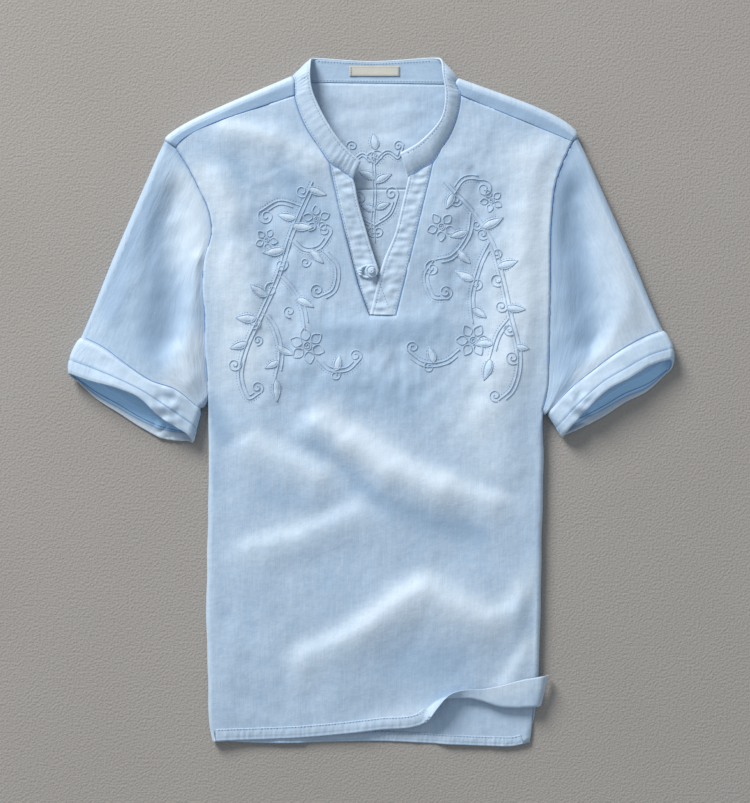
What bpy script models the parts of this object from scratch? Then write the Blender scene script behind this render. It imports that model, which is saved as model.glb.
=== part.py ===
"""A short-sleeved pullover shirt with a band collar, laid flat and face up.

Sizes are in millimetres and turned to metres by MM. +Y is the collar's end,
+Z is up, and the shirt rests on z = 0. Left and right are the picture's sides.
The sides of the body are tucked under, and the hem's right corner is turned up.
"""
import math
from typing import NamedTuple

import bmesh
import bpy
from mathutils import Vector

# Cloth and seams
MM = 0.001
WALL = 1.2
BAND_WALL = 1.6
COLLAR_WALL = 2.0
CUFF_WALL = 2.0
GAP = 0.3
SEAM = 0.5 * GAP
SHOULDER_ROLL = 7.0
HEM_FOLD = 1.8

# Grid counts
UNDER = 1
BEND = 4
HALF = 9
NOTCH = 2
STRIP = 4
BODY = 15
APEX = 3
YOKE_ROW = 8
PLACKET_TOP = 9
TOP_ROW = 13
NECK = 4


class Side(NamedTuple):
    """One level of the body: its side edges, their roll, and the front's height."""

    y: float
    left: float
    right: float
    roll: float
    middle: float


class Chest(NamedTuple):
    """One seam level above the armpits: armhole and opening, on both sides."""

    left_x: float
    left_y: float
    inner_left_x: float
    inner_left_y: float
    inner_right_x: float
    inner_right_y: float
    right_x: float
    right_y: float


class Hem(NamedTuple):
    """The front's hem strip at one x: where it starts, its length and its turn."""

    x: float
    start: float
    length: float
    turn: float


class Tuck(NamedTuple):
    """How far the side is tucked under, at a drop below the armpit."""

    drop: float
    width: float
    lift: float


class Fold(NamedTuple):
    """One straight run of a soft fold: its ends, half width and rise."""

    x1: float
    y1: float
    x2: float
    y2: float
    width: float
    rise: float


class Station(NamedTuple):
    """One share of the way round a sleeve's end: cuff edge, upper rim, lower rim."""

    share: float
    edge_x: float
    edge_y: float
    rim_x: float
    rim_y: float
    low_x: float
    low_y: float
    height: float


class Edge(NamedTuple):
    """One station of the collar's free edge."""

    column: float
    x: float
    y: float
    z: float


class Band(NamedTuple):
    """One seam level of the opening bands: both inner edges, and the lower band's drop."""

    level: float
    left_x: float
    left_y: float
    right_x: float
    right_y: float
    drop: float


class Turn(NamedTuple):
    """One ring of the knotted button: its height and radius."""

    height: float
    radius: float


SIDES = (
    Side(-372.0, -170.0, 176.0, 4.4, 5.0),
    Side(-350.0, -174.0, 179.0, 4.8, 6.4),
    Side(-300.0, -175.0, 180.9, 5.6, 9.5),
    Side(-209.0, -176.8, 183.5, 6.3, 12.0),
    Side(-85.0, -174.2, 185.8, 6.5, 13.0),
    Side(10.0, -175.0, 187.5, 6.5, 13.5),
    Side(60.0, -177.8, 191.7, 6.8, 13.0),
    Side(125.0, -180.3, 192.8, 7.0, 12.0),
    Side(184.0, -170.6, 193.2, 7.0, 12.0),
    Side(229.0, -184.0, 197.3, 7.0, 12.5),
    Side(283.0, -216.0, 218.0, 7.0, 14.0),
)

CHEST = (
    Chest(-174.4, 8.1, -1.6, 0.0, 27.3, 0.0, 185.2, -8.1),
    Chest(-175.6, 30.0, -1.6, 30.0, 27.3, 30.0, 191.0, 20.0),
    Chest(-177.8, 60.0, -1.6, 60.0, 27.3, 60.0, 191.7, 55.0),
    Chest(-178.0, 92.5, -1.6, 92.5, 27.3, 92.5, 192.4, 92.5),
    Chest(-180.3, 122.0, -12.4, 122.0, 34.5, 122.0, 192.8, 122.0),
    Chest(-178.3, 152.0, -20.5, 153.0, 41.8, 152.0, 192.8, 152.0),
    Chest(-170.6, 184.0, -28.8, 186.0, 49.6, 184.0, 193.2, 184.0),
    Chest(-174.5, 207.5, -36.0, 218.0, 57.5, 216.5, 195.0, 210.0),
    Chest(-184.0, 228.4, -41.5, 243.0, 63.5, 241.0, 197.3, 229.0),
    Chest(-190.0, 240.5, -44.8, 257.6, 67.5, 257.6, 200.5, 241.5),
    Chest(-196.0, 251.7, -54.5, 271.6, 75.1, 269.5, 204.5, 253.0),
    Chest(-202.5, 262.5, -67.5, 291.0, 86.5, 288.0, 209.5, 264.5),
    Chest(-206.0, 268.0, -76.1, 309.4, 93.8, 308.0, 213.4, 272.5),
    Chest(-209.0, 272.5, -81.5, 328.9, 97.0, 328.9, 217.0, 279.5),
)
ARMPITS = ((-174.4, 1.6), (185.2, -14.6))
SHOULDER_TIPS = ((-222.0, 281.3), (223.5, 284.5))
SHOULDER_NECKS = ((-84.8, 350.5), (94.5, 348.3))
YOKE_SEAM_BOW = (9.0, 0.0)
SHOULDER_BOW = (5.5, 9.5)

HEMS = (
    Hem(-176.0, -352.0, 14.0, 0.0),
    Hem(-76.0, -348.0, 14.3, 0.0),
    Hem(10.0, -340.0, 13.7, 0.0),
    Hem(53.5, -334.0, 14.3, 0.0),
    Hem(72.0, -321.0, 15.0, 70.0),
    Hem(88.0, -316.5, 13.0, 130.0),
    Hem(104.0, -316.4, 13.0, 168.0),
    Hem(118.3, -319.4, 16.0, 176.0),
    Hem(140.0, -325.9, 26.4, 178.0),
    Hem(159.0, -326.9, 32.7, 178.0),
    Hem(176.0, -325.9, 35.2, 176.0),
)
CORNER_LENGTH = 38.0
CORNER_TURN = 167.0
CORNER_HIDDEN_LENGTH = 30.0

TUCKS = (
    Tuck(-25.0, 4.0, 0.0),
    Tuck(-6.5, 4.0, 3.0),
    Tuck(0.0, 6.0, 3.0),
    Tuck(40.0, 34.0, 3.0),
    Tuck(95.0, 76.0, 3.0),
)

BACK_HEM = ((-176.0, -365.0), (-100.0, -368.5), (0.0, -366.5), (86.0, -370.0), (150.0, -372.0), (176.0, -366.0))
BACK_INSET = 6.7
BACK_CLEAR = 14.0
BACK_RAMP = 12.0
BACK_ROWS = 8
BACK_SHARES = (0.0, 0.12, 0.27, 0.31, 0.42, 0.5, 0.58, 0.69, 0.73, 0.88, 1.0)

FRONT_FOLDS = (
    Fold(-52.0, -33.0, 19.0, -85.0, 21.0, 5.0),
    Fold(19.0, -85.0, 121.0, -126.0, 21.0, 5.0),
    Fold(-118.0, -48.0, -62.0, -80.0, 18.0, 3.0),
    Fold(-120.0, -160.0, -25.0, -132.0, 18.0, 3.5),
    Fold(-70.0, -285.0, -5.0, -256.0, 20.0, 5.0),
    Fold(-5.0, -256.0, 48.0, -222.0, 22.0, 6.5),
    Fold(48.0, -222.0, 118.0, -252.0, 22.0, 6.0),
    Fold(118.0, -252.0, 168.0, -214.0, 18.0, 4.5),
    Fold(-8.0, -349.0, 62.0, -330.0, 16.0, 4.0),
    Fold(180.0, 210.0, 166.0, 60.0, 20.0, 4.0),
    Fold(166.0, 60.0, 150.0, -70.0, 20.0, 4.0),
    Fold(-160.0, 235.0, -118.0, 60.0, 24.0, 4.0),
    Fold(10.0, -112.0, 110.0, -158.0, 20.0, -3.0),
    Fold(25.0, -275.0, 90.0, -290.0, 20.0, -3.0),
    Fold(-90.0, 170.0, -78.0, 30.0, 22.0, -2.5),
    Fold(100.0, 150.0, 96.0, -10.0, 22.0, -2.5),
)
SLEEVE_FOLDS = (
    Fold(-206.0, 212.0, -212.0, 70.0, 18.0, -4.5),
    Fold(-262.0, 160.0, -282.0, 84.0, 16.0, 3.0),
    Fold(246.0, 205.0, 258.0, 70.0, 20.0, -4.5),
    Fold(282.0, 120.0, 262.0, 60.0, 14.0, 3.0),
)

CUFF_LEFT = (
    Station(0.0, -312.7, 68.6, -326.0, 31.0, -322.0, 27.0, 17.0),
    Station(0.2, -288.0, 57.0, -301.0, 22.3, -296.0, 3.0, 23.0),
    Station(0.4, -262.0, 38.5, -273.0, 15.0, -271.0, -13.0, 27.0),
    Station(0.6, -236.0, 22.0, -247.0, 4.0, -246.0, -29.0, 28.0),
    Station(0.8, -208.0, 12.0, -224.0, -17.0, -220.0, -41.0, 25.0),
    Station(1.0, -180.9, -10.3, -188.0, -40.0, -187.0, -43.0, 18.0),
)
CUFF_RIGHT = (
    Station(0.0, 315.9, 76.1, 324.5, 46.0, 326.5, 37.0, 17.0),
    Station(0.2, 291.0, 66.4, 301.0, 39.0, 300.0, 12.0, 23.0),
    Station(0.4, 265.0, 52.0, 277.0, 25.0, 275.0, -1.0, 27.0),
    Station(0.6, 240.0, 34.0, 253.0, 12.0, 251.0, -16.5, 28.0),
    Station(0.8, 214.0, 13.0, 230.0, -10.0, 226.0, -29.0, 25.0),
    Station(1.0, 188.7, -14.8, 208.0, -35.0, 205.0, -38.5, 18.0),
)
SLEEVE_ROWS = 4
SLEEVE_END_ROWS = 2
CUFF_ROWS = 3
CUFF_BULGE = 8.0
CUFF_BELLY = 4.0
CUFF_INSET = CUFF_WALL + GAP

COLLAR_EDGE = (
    Edge(0, -10.3, 257.6, 16.0),
    Edge(2, -29.7, 276.0, 19.0),
    Edge(4, -48.1, 303.0, 21.0),
    Edge(6, -62.1, 334.3, 21.0),
    Edge(8, -64.3, 353.7, 20.0),
    Edge(10, -64.0, 369.0, 11.0),
    Edge(12, -56.7, 371.0, 0.0),
    Edge(14, 1.6, 367.7, 0.0),
    Edge(16, 66.4, 371.5, 0.0),
    Edge(18, 76.0, 368.6, 11.0),
    Edge(20, 77.2, 351.5, 20.0),
    Edge(22, 79.9, 330.0, 21.0),
    Edge(24, 75.1, 303.0, 21.0),
    Edge(26, 53.5, 279.2, 19.0),
    Edge(28, 31.9, 266.8, 16.0),
)
COLLAR_ROWS = 3
COLLAR_CROWN = 1.5

BANDS = (
    Band(3, 26.0, 95.0, -0.8, 93.5, 2.6),
    Band(4, 16.5, 120.0, 5.8, 120.0, 2.6),
    Band(5, 5.5, 152.0, 13.5, 150.0, 2.6),
    Band(6, -4.5, 184.0, 26.5, 181.0, 1.0),
    Band(7, -12.5, 212.0, 33.5, 210.0, 0.0),
    Band(8, -16.0, 230.0, 38.5, 231.0, 0.0),
    Band(9, -18.4, 239.0, 40.8, 241.2, 0.0),
)
BAND_COLUMNS = 2

BUTTON_AT = (1.4, 139.9)
BUTTON_TURNS = (
    Turn(0.0, 0.0),
    Turn(0.0, 2.4),
    Turn(3.0, 2.8),
    Turn(5.0, 6.4),
    Turn(8.0, 7.5),
    Turn(10.8, 6.2),
    Turn(12.6, 3.2),
    Turn(13.0, 0.0),
)
BUTTON_SIDES = 16
BUTTON_LOBES = 4
BUTTON_LOBE_DEPTH = 0.07
LOOP_AT = (-2.9, 139.7)
LOOP_REACH = (10.6, 6.6)
LOOP_CORD = 1.1
LABEL_AT = (4.3, 356.6)
LABEL_SIZE = (55.0, 11.0, 0.9)

LINEN_BLUE = (0.40, 0.51, 0.63, 1.0)
LABEL_CREAM = (0.52, 0.55, 0.49, 1.0)


def mix(start: float, end: float, share: float) -> float:
    """Return the value at a share of the way from start to end."""
    return start + (end - start) * share


def ease(value: float) -> float:
    """Return a soft step from 0 to 1 as value goes from 0 to 1."""
    value = min(max(value, 0.0), 1.0)
    return value * value * (3.0 - 2.0 * value)


def at(table: tuple, key: float) -> tuple:
    """Return a table's row at a key, read between its two nearest rows."""
    if key <= table[0][0]:
        return table[0]
    for low, high in zip(table, table[1:]):
        if key <= high[0]:
            share = (key - low[0]) / (high[0] - low[0])
            values = [mix(a, b, share) for a, b in zip(low, high)]
            return type(low)(*values) if hasattr(low, "_fields") else tuple(values)
    return table[-1]


def relief(folds: tuple, x: float, y: float) -> float:
    """Return the height that a table of folds adds at a place."""
    crest = 0.0
    hollow = 0.0
    for fold in folds:
        start = Vector((fold.x1, fold.y1))
        run = Vector((fold.x2, fold.y2)) - start
        reach = (Vector((x, y)) - start).dot(run) / run.length_squared
        foot = start + run * min(max(reach, 0.0), 1.0)
        away = (Vector((x, y)) - foot).length / fold.width
        height = fold.rise * math.exp(-away * away)
        crest = max(crest, height)
        hollow = min(hollow, height)
    return crest + hollow


def tuck_at(y: float, side: int) -> Tuck:
    """Return the tuck at a level of the left (0) or right (1) side."""
    return at(TUCKS, ARMPITS[side][1] - y)


def back_low(x: float, y: float) -> float:
    """Return the height of the back panel's under face."""
    level = at(SIDES, y)
    heights = []
    for side, inside in enumerate((x - level.left, level.right - x)):
        tuck = tuck_at(y, side)
        ramp = ease((inside - level.roll - tuck.width - BACK_CLEAR) / BACK_RAMP)
        heights.append(tuck.lift * (1.0 - ramp))
    return max(heights)


def front_top(x: float, y: float) -> float:
    """Return the height of the front panel's upper face."""
    level = at(SIDES, y)
    inside = min(x - level.left, level.right - x) - level.roll
    height = mix(2.0 * level.roll, level.middle, ease(inside / 45.0))
    height += relief(FRONT_FOLDS, x, y) * ease(inside / 22.0)
    return max(height, back_low(x, y) + 2.0 * WALL + 2.0 * GAP)


def cloth(name: str, columns: int, rows: int, place, colour: tuple, keep=None, ring: bool = False):
    """Make one closed cloth solid from a grid.

    The grid is welded into a tube if ring is set, thickened by an extrusion, and
    each corner is put where place(column, row, depth) says, in millimetres.
    """
    mesh = bmesh.new()
    column_of = mesh.verts.layers.int.new("column")
    row_of = mesh.verts.layers.int.new("row")
    depth_of = mesh.verts.layers.int.new("depth")
    bmesh.ops.create_grid(mesh, x_segments=columns, y_segments=rows, size=0.5)
    for vert in mesh.verts:
        vert[column_of] = round((vert.co.x + 0.5) * columns)
        vert[row_of] = round((vert.co.y + 0.5) * rows)
    if keep is not None:
        dropped = []
        for face in mesh.faces:
            column = min(vert[column_of] for vert in face.verts)
            row = min(vert[row_of] for vert in face.verts)
            if not keep(column, row):
                dropped.append(face)
        bmesh.ops.delete(mesh, geom=dropped, context="FACES")
    if ring:
        first = {vert[row_of]: vert for vert in mesh.verts if vert[column_of] == 0}
        last = [vert for vert in mesh.verts if vert[column_of] == columns]
        bmesh.ops.weld_verts(mesh, targetmap={vert: first[vert[row_of]] for vert in last})
    grown = bmesh.ops.extrude_face_region(mesh, geom=mesh.faces[:])
    for item in grown["geom"]:
        if isinstance(item, bmesh.types.BMVert):
            item[depth_of] = 1
    for vert in mesh.verts:
        vert.co = Vector(place(vert[column_of], vert[row_of], vert[depth_of])) * MM
    bmesh.ops.triangulate(mesh, faces=mesh.faces[:])
    return finish(name, mesh, colour)


def finish(name: str, mesh: bmesh.types.BMesh, colour: tuple) -> bpy.types.Object:
    """Turn a bmesh into a named object with its own material."""
    bmesh.ops.recalc_face_normals(mesh, faces=mesh.faces[:])
    for face in mesh.faces:
        face.smooth = True
    data = bpy.data.meshes.new(name)
    mesh.to_mesh(data)
    mesh.free()
    material = bpy.data.materials.new(name + "_linen")
    material.use_nodes = True
    shader = material.node_tree.nodes["Principled BSDF"]
    shader.inputs["Base Color"].default_value = colour
    shader.inputs["Roughness"].default_value = 0.85
    shader.inputs["Metallic"].default_value = 0.0
    data.materials.append(material)
    thing = bpy.data.objects.new(name, data)
    bpy.context.scene.collection.objects.link(thing)
    return thing


def bowed(share: float) -> float:
    """Return how far a shoulder line bows at a share of the way in from its tip."""
    return math.sin(math.pi * math.sqrt(share))


def armhole(side: int) -> list:
    """Return the seam points of one armhole, from the armpit up to the yoke's seam."""
    if side == 0:
        return [Vector((row.left_x, row.left_y)) for row in CHEST]
    return [Vector((row.right_x, row.right_y)) for row in CHEST]


def opening(side: int) -> list:
    """Return the points along one edge of the front's opening and neck."""
    if side == 0:
        return [Vector((row.inner_left_x, row.inner_left_y)) for row in CHEST]
    return [Vector((row.inner_right_x, row.inner_right_y)) for row in CHEST]


def beside(points: list, by: float) -> list:
    """Return a seam's points moved sideways in plan, to the left of its run."""
    shifted = []
    for index, point in enumerate(points):
        before = points[max(index - 1, 0)]
        after = points[min(index + 1, len(points) - 1)]
        run = (after - before).normalized()
        shifted.append(point + Vector((-run.y, run.x)) * by)
    return shifted


def roll_point(centre: Vector, outward: Vector, roll: float, angle: float, depth: float) -> tuple:
    """Return a point of a cloth edge rolled round a centre line, at an angle from level."""
    reach = roll - depth
    lean = math.cos(angle) * reach
    return (centre.x + outward.x * lean, centre.y + outward.y * lean, roll + math.sin(angle) * reach)


def turned(length: float, start_angle: float) -> tuple:
    """Return the run back, the rise and the angle of a hem strip after some length."""
    bent = min(length, HEM_FOLD * start_angle)
    angle = bent / HEM_FOLD
    straight = length - bent
    back = -HEM_FOLD * math.sin(angle) - straight * math.cos(angle)
    rise = HEM_FOLD * (1.0 - math.cos(angle)) + straight * math.sin(angle)
    return back, rise, angle


def armpit_line(share: float) -> float:
    """Return y of the line between the armpits, at a share of the way across."""
    return mix(CHEST[0].left_y, CHEST[0].right_y, share)


def front_panel() -> bpy.types.Object:
    """Build the front, with its tucked sides, its opening and its turned-up corner."""
    first_top = UNDER + BEND
    opening_left = first_top + HALF
    opening_right = opening_left + NOTCH
    last_top = opening_right + HALF
    columns = last_top + BEND + UNDER
    armpit_row = STRIP + BODY
    arms = (beside(armhole(0), -SEAM), beside(armhole(1), SEAM))
    inner = (beside(opening(0), SEAM), beside(opening(1), -SEAM))

    def keep(column: int, row: int) -> bool:
        """Return whether the cell is cloth."""
        if row >= armpit_row and not first_top <= column < last_top:
            return False
        if row >= armpit_row + APEX and opening_left <= column < opening_right:
            return False
        slit = last_top + BEND // 2
        return not (row < STRIP and column == slit)

    def across(column: int, left: float, right: float) -> float:
        """Return x of a top column between the two side edges."""
        if column <= opening_left:
            return mix(left, inner[0][0].x, (column - first_top) / HALF)
        if column <= opening_right:
            share = (column - opening_left) / NOTCH
            return mix(inner[0][0].x, inner[1][0].x, share)
        return mix(inner[1][0].x, right, (column - opening_right) / HALF)

    def chest(column: int, level: int, depth: int) -> tuple:
        """Return a corner above the armpits."""
        if column <= opening_left:
            share = (column - first_top) / HALF
            point = arms[0][level].lerp(inner[0][level], share)
        elif column < opening_right:
            share = (column - opening_left) / NOTCH
            point = inner[0][level].lerp(inner[1][level], share)
        else:
            share = 1.0 - (column - opening_right) / HALF
            point = arms[1][level].lerp(inner[1][level], share)
        if level > APEX:
            side = 0 if column <= opening_left else 1
            bow = YOKE_SEAM_BOW[side] * bowed(share) * ease((level - APEX) / (TOP_ROW - APEX))
            point = point + Vector((0.0, bow - SEAM * (level == TOP_ROW)))
        return point.x, point.y, front_top(point.x, point.y) - WALL * depth

    def side_corner(column: int, y: float, side: int, share: float, depth: int) -> tuple:
        """Return a corner on a side's roll or on its tucked part."""
        level = at(SIDES, y)
        sign = -1.0 if side == 0 else 1.0
        steps = first_top - column if side == 0 else column - last_top
        rotate = 0.5 * math.pi * ease((share - 0.86) / 0.14)
        outward = Vector((sign * math.cos(rotate), -math.sin(rotate)))
        edge = Vector((level.left if side == 0 else level.right, y))
        if share >= 1.0:
            edge = Vector((arms[side][0].x, ARMPITS[side][1]))
        centre = edge - outward * level.roll
        if steps <= BEND:
            angle = 0.5 * math.pi - math.pi * steps / BEND
            return roll_point(centre, outward, level.roll, angle, WALL * depth)
        width = tuck_at(y, side).width * (steps - BEND) / UNDER
        return centre.x - sign * width, centre.y, WALL * depth

    def body(column: int, share: float, depth: int) -> tuple:
        """Return a corner between the hem strip and the armpits."""
        if column <= first_top or column >= last_top:
            side = 0 if column <= first_top else 1
            start = at(HEMS, -180.0 if side == 0 else 180.0).start
            return side_corner(column, mix(start, ARMPITS[side][1], share), side, share, depth)
        wide = (column - first_top) / (last_top - first_top)
        guess = mix(-350.0, armpit_line(wide), share)
        level = at(SIDES, guess)
        x = across(column, level.left + level.roll, level.right - level.roll)
        if share >= 1.0:
            x = across(column, arms[0][0].x, arms[1][0].x)
        y = mix(at(HEMS, x).start, armpit_line(wide), share)
        return x, y, front_top(x, y) - WALL * depth

    def strip(column: int, share: float, depth: int) -> tuple:
        """Return a corner of the hem strip, share 1 being the hem itself."""
        base = Vector(body(column, 0.0, 0))
        hem = at(HEMS, base.x)
        steps = column - last_top
        length, turn = hem.length, hem.turn
        outward = Vector((0.0, 0.0, 1.0))
        if column < first_top or steps > 0:
            around = (first_top - column if column < first_top else steps) / BEND
            angle = 0.5 * math.pi - math.pi * min(around, 1.0)
            sign = -1.0 if column < first_top else 1.0
            outward = Vector((sign * math.cos(angle), 0.0, math.sin(angle)))
        if 0 < steps <= BEND // 2:
            length, turn = CORNER_LENGTH, CORNER_TURN
        elif steps > BEND // 2:
            length, turn = CORNER_HIDDEN_LENGTH, 0.0
        back, rise, angle = turned(length * share, math.radians(turn))
        skin = outward * math.cos(angle) + Vector((0.0, math.sin(angle), 0.0))
        corner = base + Vector((0.0, back, 0.0)) + outward * rise - skin * WALL * depth
        if column < first_top and share > 0.0:
            corner.x += 3.0 * share
        return tuple(corner)

    def place(column: int, row: int, depth: int) -> tuple:
        """Return a corner of the whole panel."""
        if row < STRIP:
            return strip(column, 1.0 - row / STRIP, depth)
        if row > armpit_row or (row == armpit_row and first_top <= column <= last_top):
            return chest(column, row - armpit_row, depth)
        return body(column, (row - STRIP) / BODY, depth)

    return cloth("front_panel", columns, armpit_row + TOP_ROW, place, LINEN_BLUE, keep)


def back_panel() -> bpy.types.Object:
    """Build the back below the yoke, folded under inside the front's sides."""
    first = UNDER + BEND
    main = len(BACK_SHARES) - 1
    last = first + main
    columns = last + BEND + UNDER
    arms = (beside(armhole(0), -SEAM), beside(armhole(1), SEAM))
    fold = 0.5 * (2.0 * WALL + GAP)

    def keep(column: int, row: int) -> bool:
        """Return whether the cell is cloth."""
        return row < BACK_ROWS - 1 or first <= column < last

    def place(column: int, row: int, depth: int) -> tuple:
        """Return a corner, depth 0 being the face with the outer bend."""
        if row > BACK_ROWS:
            level = row - BACK_ROWS
            share = BACK_SHARES[column - first]
            point = arms[0][level].lerp(arms[1][level], share)
            y = point.y - SEAM * (level == YOKE_ROW)
            return point.x, y, back_low(point.x, y) + WALL * (1 - depth)
        share = row / BACK_ROWS
        side = 0 if column <= first + main // 2 else 1
        sign = -1.0 if side == 0 else 1.0
        across = BACK_SHARES[min(max(column - first, 0), main)]
        guess = mix(-367.0, armpit_line(across), share)
        level = at(SIDES, guess)
        left = level.left + BACK_INSET
        right = level.right - BACK_INSET
        x = mix(left, right, across)
        y = mix(at(BACK_HEM, x)[1], armpit_line(across), share)
        if first <= column <= last:
            return x, y, back_low(x, y) + WALL * (1 - depth)
        steps = first - column if side == 0 else column - last
        if steps <= BEND:
            angle = 0.5 * math.pi - math.pi * steps / BEND
            reach = fold - WALL * depth
            middle = tuck_at(y, side).lift + WALL - fold
            return x + sign * math.cos(angle) * reach, y, middle + math.sin(angle) * reach
        width = (tuck_at(y, side).width - 3.0) * (steps - BEND) / UNDER
        return x - sign * width, y, tuck_at(y, side).lift + WALL - 2.0 * fold + WALL * depth

    return cloth("back_panel", columns, BACK_ROWS + YOKE_ROW, place, LINEN_BLUE, keep)


def shoulder_centres(side: int) -> tuple:
    """Return the roll's centre and outward direction at a shoulder's tip and neck end."""
    tip = Vector(SHOULDER_TIPS[side])
    neck = Vector(SHOULDER_NECKS[side])
    seam_out = (tip - armhole(side)[TOP_ROW]).normalized()
    run = (neck - tip).normalized()
    square = Vector((-run.y, run.x)) if side == 0 else Vector((run.y, -run.x))
    return tip - seam_out * SHOULDER_ROLL, seam_out, neck - square * SHOULDER_ROLL, square


def shoulder_at(side: int, share: float) -> tuple:
    """Return the roll's centre and outward direction, share 0 being the tip."""
    tip, tip_out, neck, neck_out = shoulder_centres(side)
    centre = tip.lerp(neck, share) + neck_out * SHOULDER_BOW[side] * bowed(share)
    outward = tip_out.lerp(neck_out, ease(share * 4.0)).normalized()
    return centre, outward


def yoke_seam(side: int, share: float) -> Vector:
    """Return a point of the yoke's front seam, share 0 being the armhole."""
    point = armhole(side)[TOP_ROW].lerp(opening(side)[TOP_ROW], share)
    return point + Vector((0.0, YOKE_SEAM_BOW[side] * bowed(share)))


def yoke() -> bpy.types.Object:
    """Build the yoke: flat back, rolled shoulders, and the strips in front."""
    back_rows = TOP_ROW - YOKE_ROW + 1
    strip_rows = 2
    neck_first = HALF
    neck_last = HALF + NECK
    arms = (beside(armhole(0), -SEAM), beside(armhole(1), SEAM))

    def keep(column: int, row: int) -> bool:
        """Return whether the cell is cloth."""
        return row < back_rows or not neck_first <= column < neck_last

    def side_place(side: int, share: float, row: int, depth: int) -> tuple:
        """Return a corner of one shoulder, share 0 being the armhole."""
        centre, outward = shoulder_at(side, share)
        clear = Vector(((1.0 if side == 0 else -1.0) * SEAM * (1.0 - share), 0.0))
        if row <= back_rows:
            level = YOKE_ROW + row
            arm = arms[side][level] if level <= TOP_ROW else shoulder_at(side, 0.0)[0] + clear
            neck_low = Vector(((-72.0, 78.0)[side], mix(arms[0][YOKE_ROW].y, arms[1][YOKE_ROW].y, 0.5)))
            neck = neck_low.lerp(shoulder_at(side, 1.0)[0], row / back_rows)
            point = arm.lerp(neck, share)
            if row == back_rows:
                point = centre + clear
            lift = SEAM if row == 0 else 0.0
            return point.x, point.y + lift, WALL * depth
        if row <= back_rows + BEND:
            angle = math.pi * (row - back_rows) / BEND - 0.5 * math.pi
            return roll_point(centre + clear, outward, SHOULDER_ROLL, angle, WALL * depth)
        down = (row - back_rows - BEND) / strip_rows
        seam = yoke_seam(side, share) + clear + Vector((0.0, SEAM))
        point = (centre + clear).lerp(seam, down)
        height = mix(2.0 * SHOULDER_ROLL, front_top(seam.x, seam.y), down)
        return point.x, point.y, height - WALL * depth

    def place(column: int, row: int, depth: int) -> tuple:
        """Return a corner of the whole yoke."""
        if column <= neck_first:
            return side_place(0, column / HALF, row, depth)
        if column >= neck_last:
            return side_place(1, (columns - column) / HALF, row, depth)
        left = Vector(side_place(0, 1.0, row, depth))
        right = Vector(side_place(1, 1.0, row, depth))
        return tuple(left.lerp(right, (column - neck_first) / NECK))

    columns = 2 * HALF + NECK
    return cloth("yoke", columns, back_rows + BEND + strip_rows, place, LINEN_BLUE, keep)


def ring_paths(side: int) -> list:
    """Return the stations of a sleeve's upper face, from the shoulder to the armpit."""
    centre = shoulder_at(side, 0.0)[0]
    seam = beside(armhole(side), SEAM if side == 0 else -SEAM)
    sign = -1.0 if side == 0 else 1.0
    path = [centre + Vector((sign * SEAM, 0.0))] + seam[::-1]
    lengths = [0.0]
    for before, after in zip(path, path[1:]):
        lengths.append(lengths[-1] + (after - before).length)
    return [(point, length / lengths[-1]) for point, length in zip(path, lengths)]


def tube_corner(side: int, column: int, along: float, inset: float) -> tuple:
    """Return a corner of a sleeve or cuff.

    Along runs from 0 at the armhole to 1 at the cuff's edge and 2 at its rim, and
    inset is the distance inside the cuff's outer face.
    """
    path = ring_paths(side)
    upper = len(path) - 1
    table = CUFF_LEFT if side == 0 else CUFF_RIGHT
    sign = -1.0 if side == 0 else 1.0
    if column <= upper:
        index, angle, is_low = column, None, False
    elif column < upper + BEND:
        index, angle, is_low = upper, 0.5 * math.pi - math.pi * (column - upper) / BEND, False
    elif column <= 2 * upper + BEND:
        index, angle, is_low = 2 * upper + BEND - column, None, True
    else:
        steps = column - 2 * upper - BEND
        index, angle, is_low = 0, math.pi * steps / BEND - 0.5 * math.pi, False
    start, share = path[index]
    inner_share = mix(0.05, 0.95, share)
    station = at(table, inner_share)
    edge = Vector((station.edge_x, station.edge_y))
    rim = Vector((station.rim_x, station.rim_y))
    low = Vector((station.low_x, station.low_y))
    over = max(along - 1.0, 0.0)
    belly = sign * CUFF_BELLY * math.sin(math.pi * over) * (1.0 - share) ** 3
    high_end = edge.lerp(rim, over) + Vector((belly, 0.0))
    low_end = edge.lerp(low, over) + Vector((belly, 0.0))
    first = min(along, 1.0)
    high = start.lerp(high_end, first)
    under = start.lerp(low_end, first)
    base = front_top(start.x, start.y) if 0 < index < upper else 2.0 * SHOULDER_ROLL
    if index == upper:
        base = 2.0 * at(SIDES, ARMPITS[side][1]).roll
    end_height = mix(0.8 * station.height, station.height, over)
    height = mix(base, end_height, ease(first))
    height += relief(SLEEVE_FOLDS, high.x, high.y) * math.sin(math.pi * first) * math.sin(math.pi * share)
    if angle is None:
        if is_low:
            return under.x, under.y, inset
        return high.x, high.y, height - inset
    middle = 0.5 * (high + under)
    roll = SHOULDER_ROLL if index == 0 else at(SIDES, ARMPITS[side][1]).roll
    bulge = mix(roll, CUFF_BULGE, first)
    outward = ring_outward(side, index, first)
    lift = 0.5 * height - inset
    lean = (bulge - inset) * math.cos(angle)
    slant = 0.5 * (high - under) * math.sin(angle)
    point = middle + outward * lean + slant
    return point.x, point.y, 0.5 * height + lift * math.sin(angle)


def ring_outward(side: int, index: int, first: float) -> Vector:
    """Return the direction in which a tube's end bulges, in plan."""
    table = CUFF_LEFT if side == 0 else CUFF_RIGHT
    if index == 0:
        begin = shoulder_centres(side)[1]
        end = Vector((table[0].edge_x, table[0].edge_y)) - Vector((table[1].edge_x, table[1].edge_y))
    else:
        begin = Vector((0.0, -1.0))
        end = Vector((table[-1].edge_x, table[-1].edge_y)) - Vector((table[-2].edge_x, table[-2].edge_y))
    return begin.lerp(end.normalized(), first).normalized()


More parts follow.
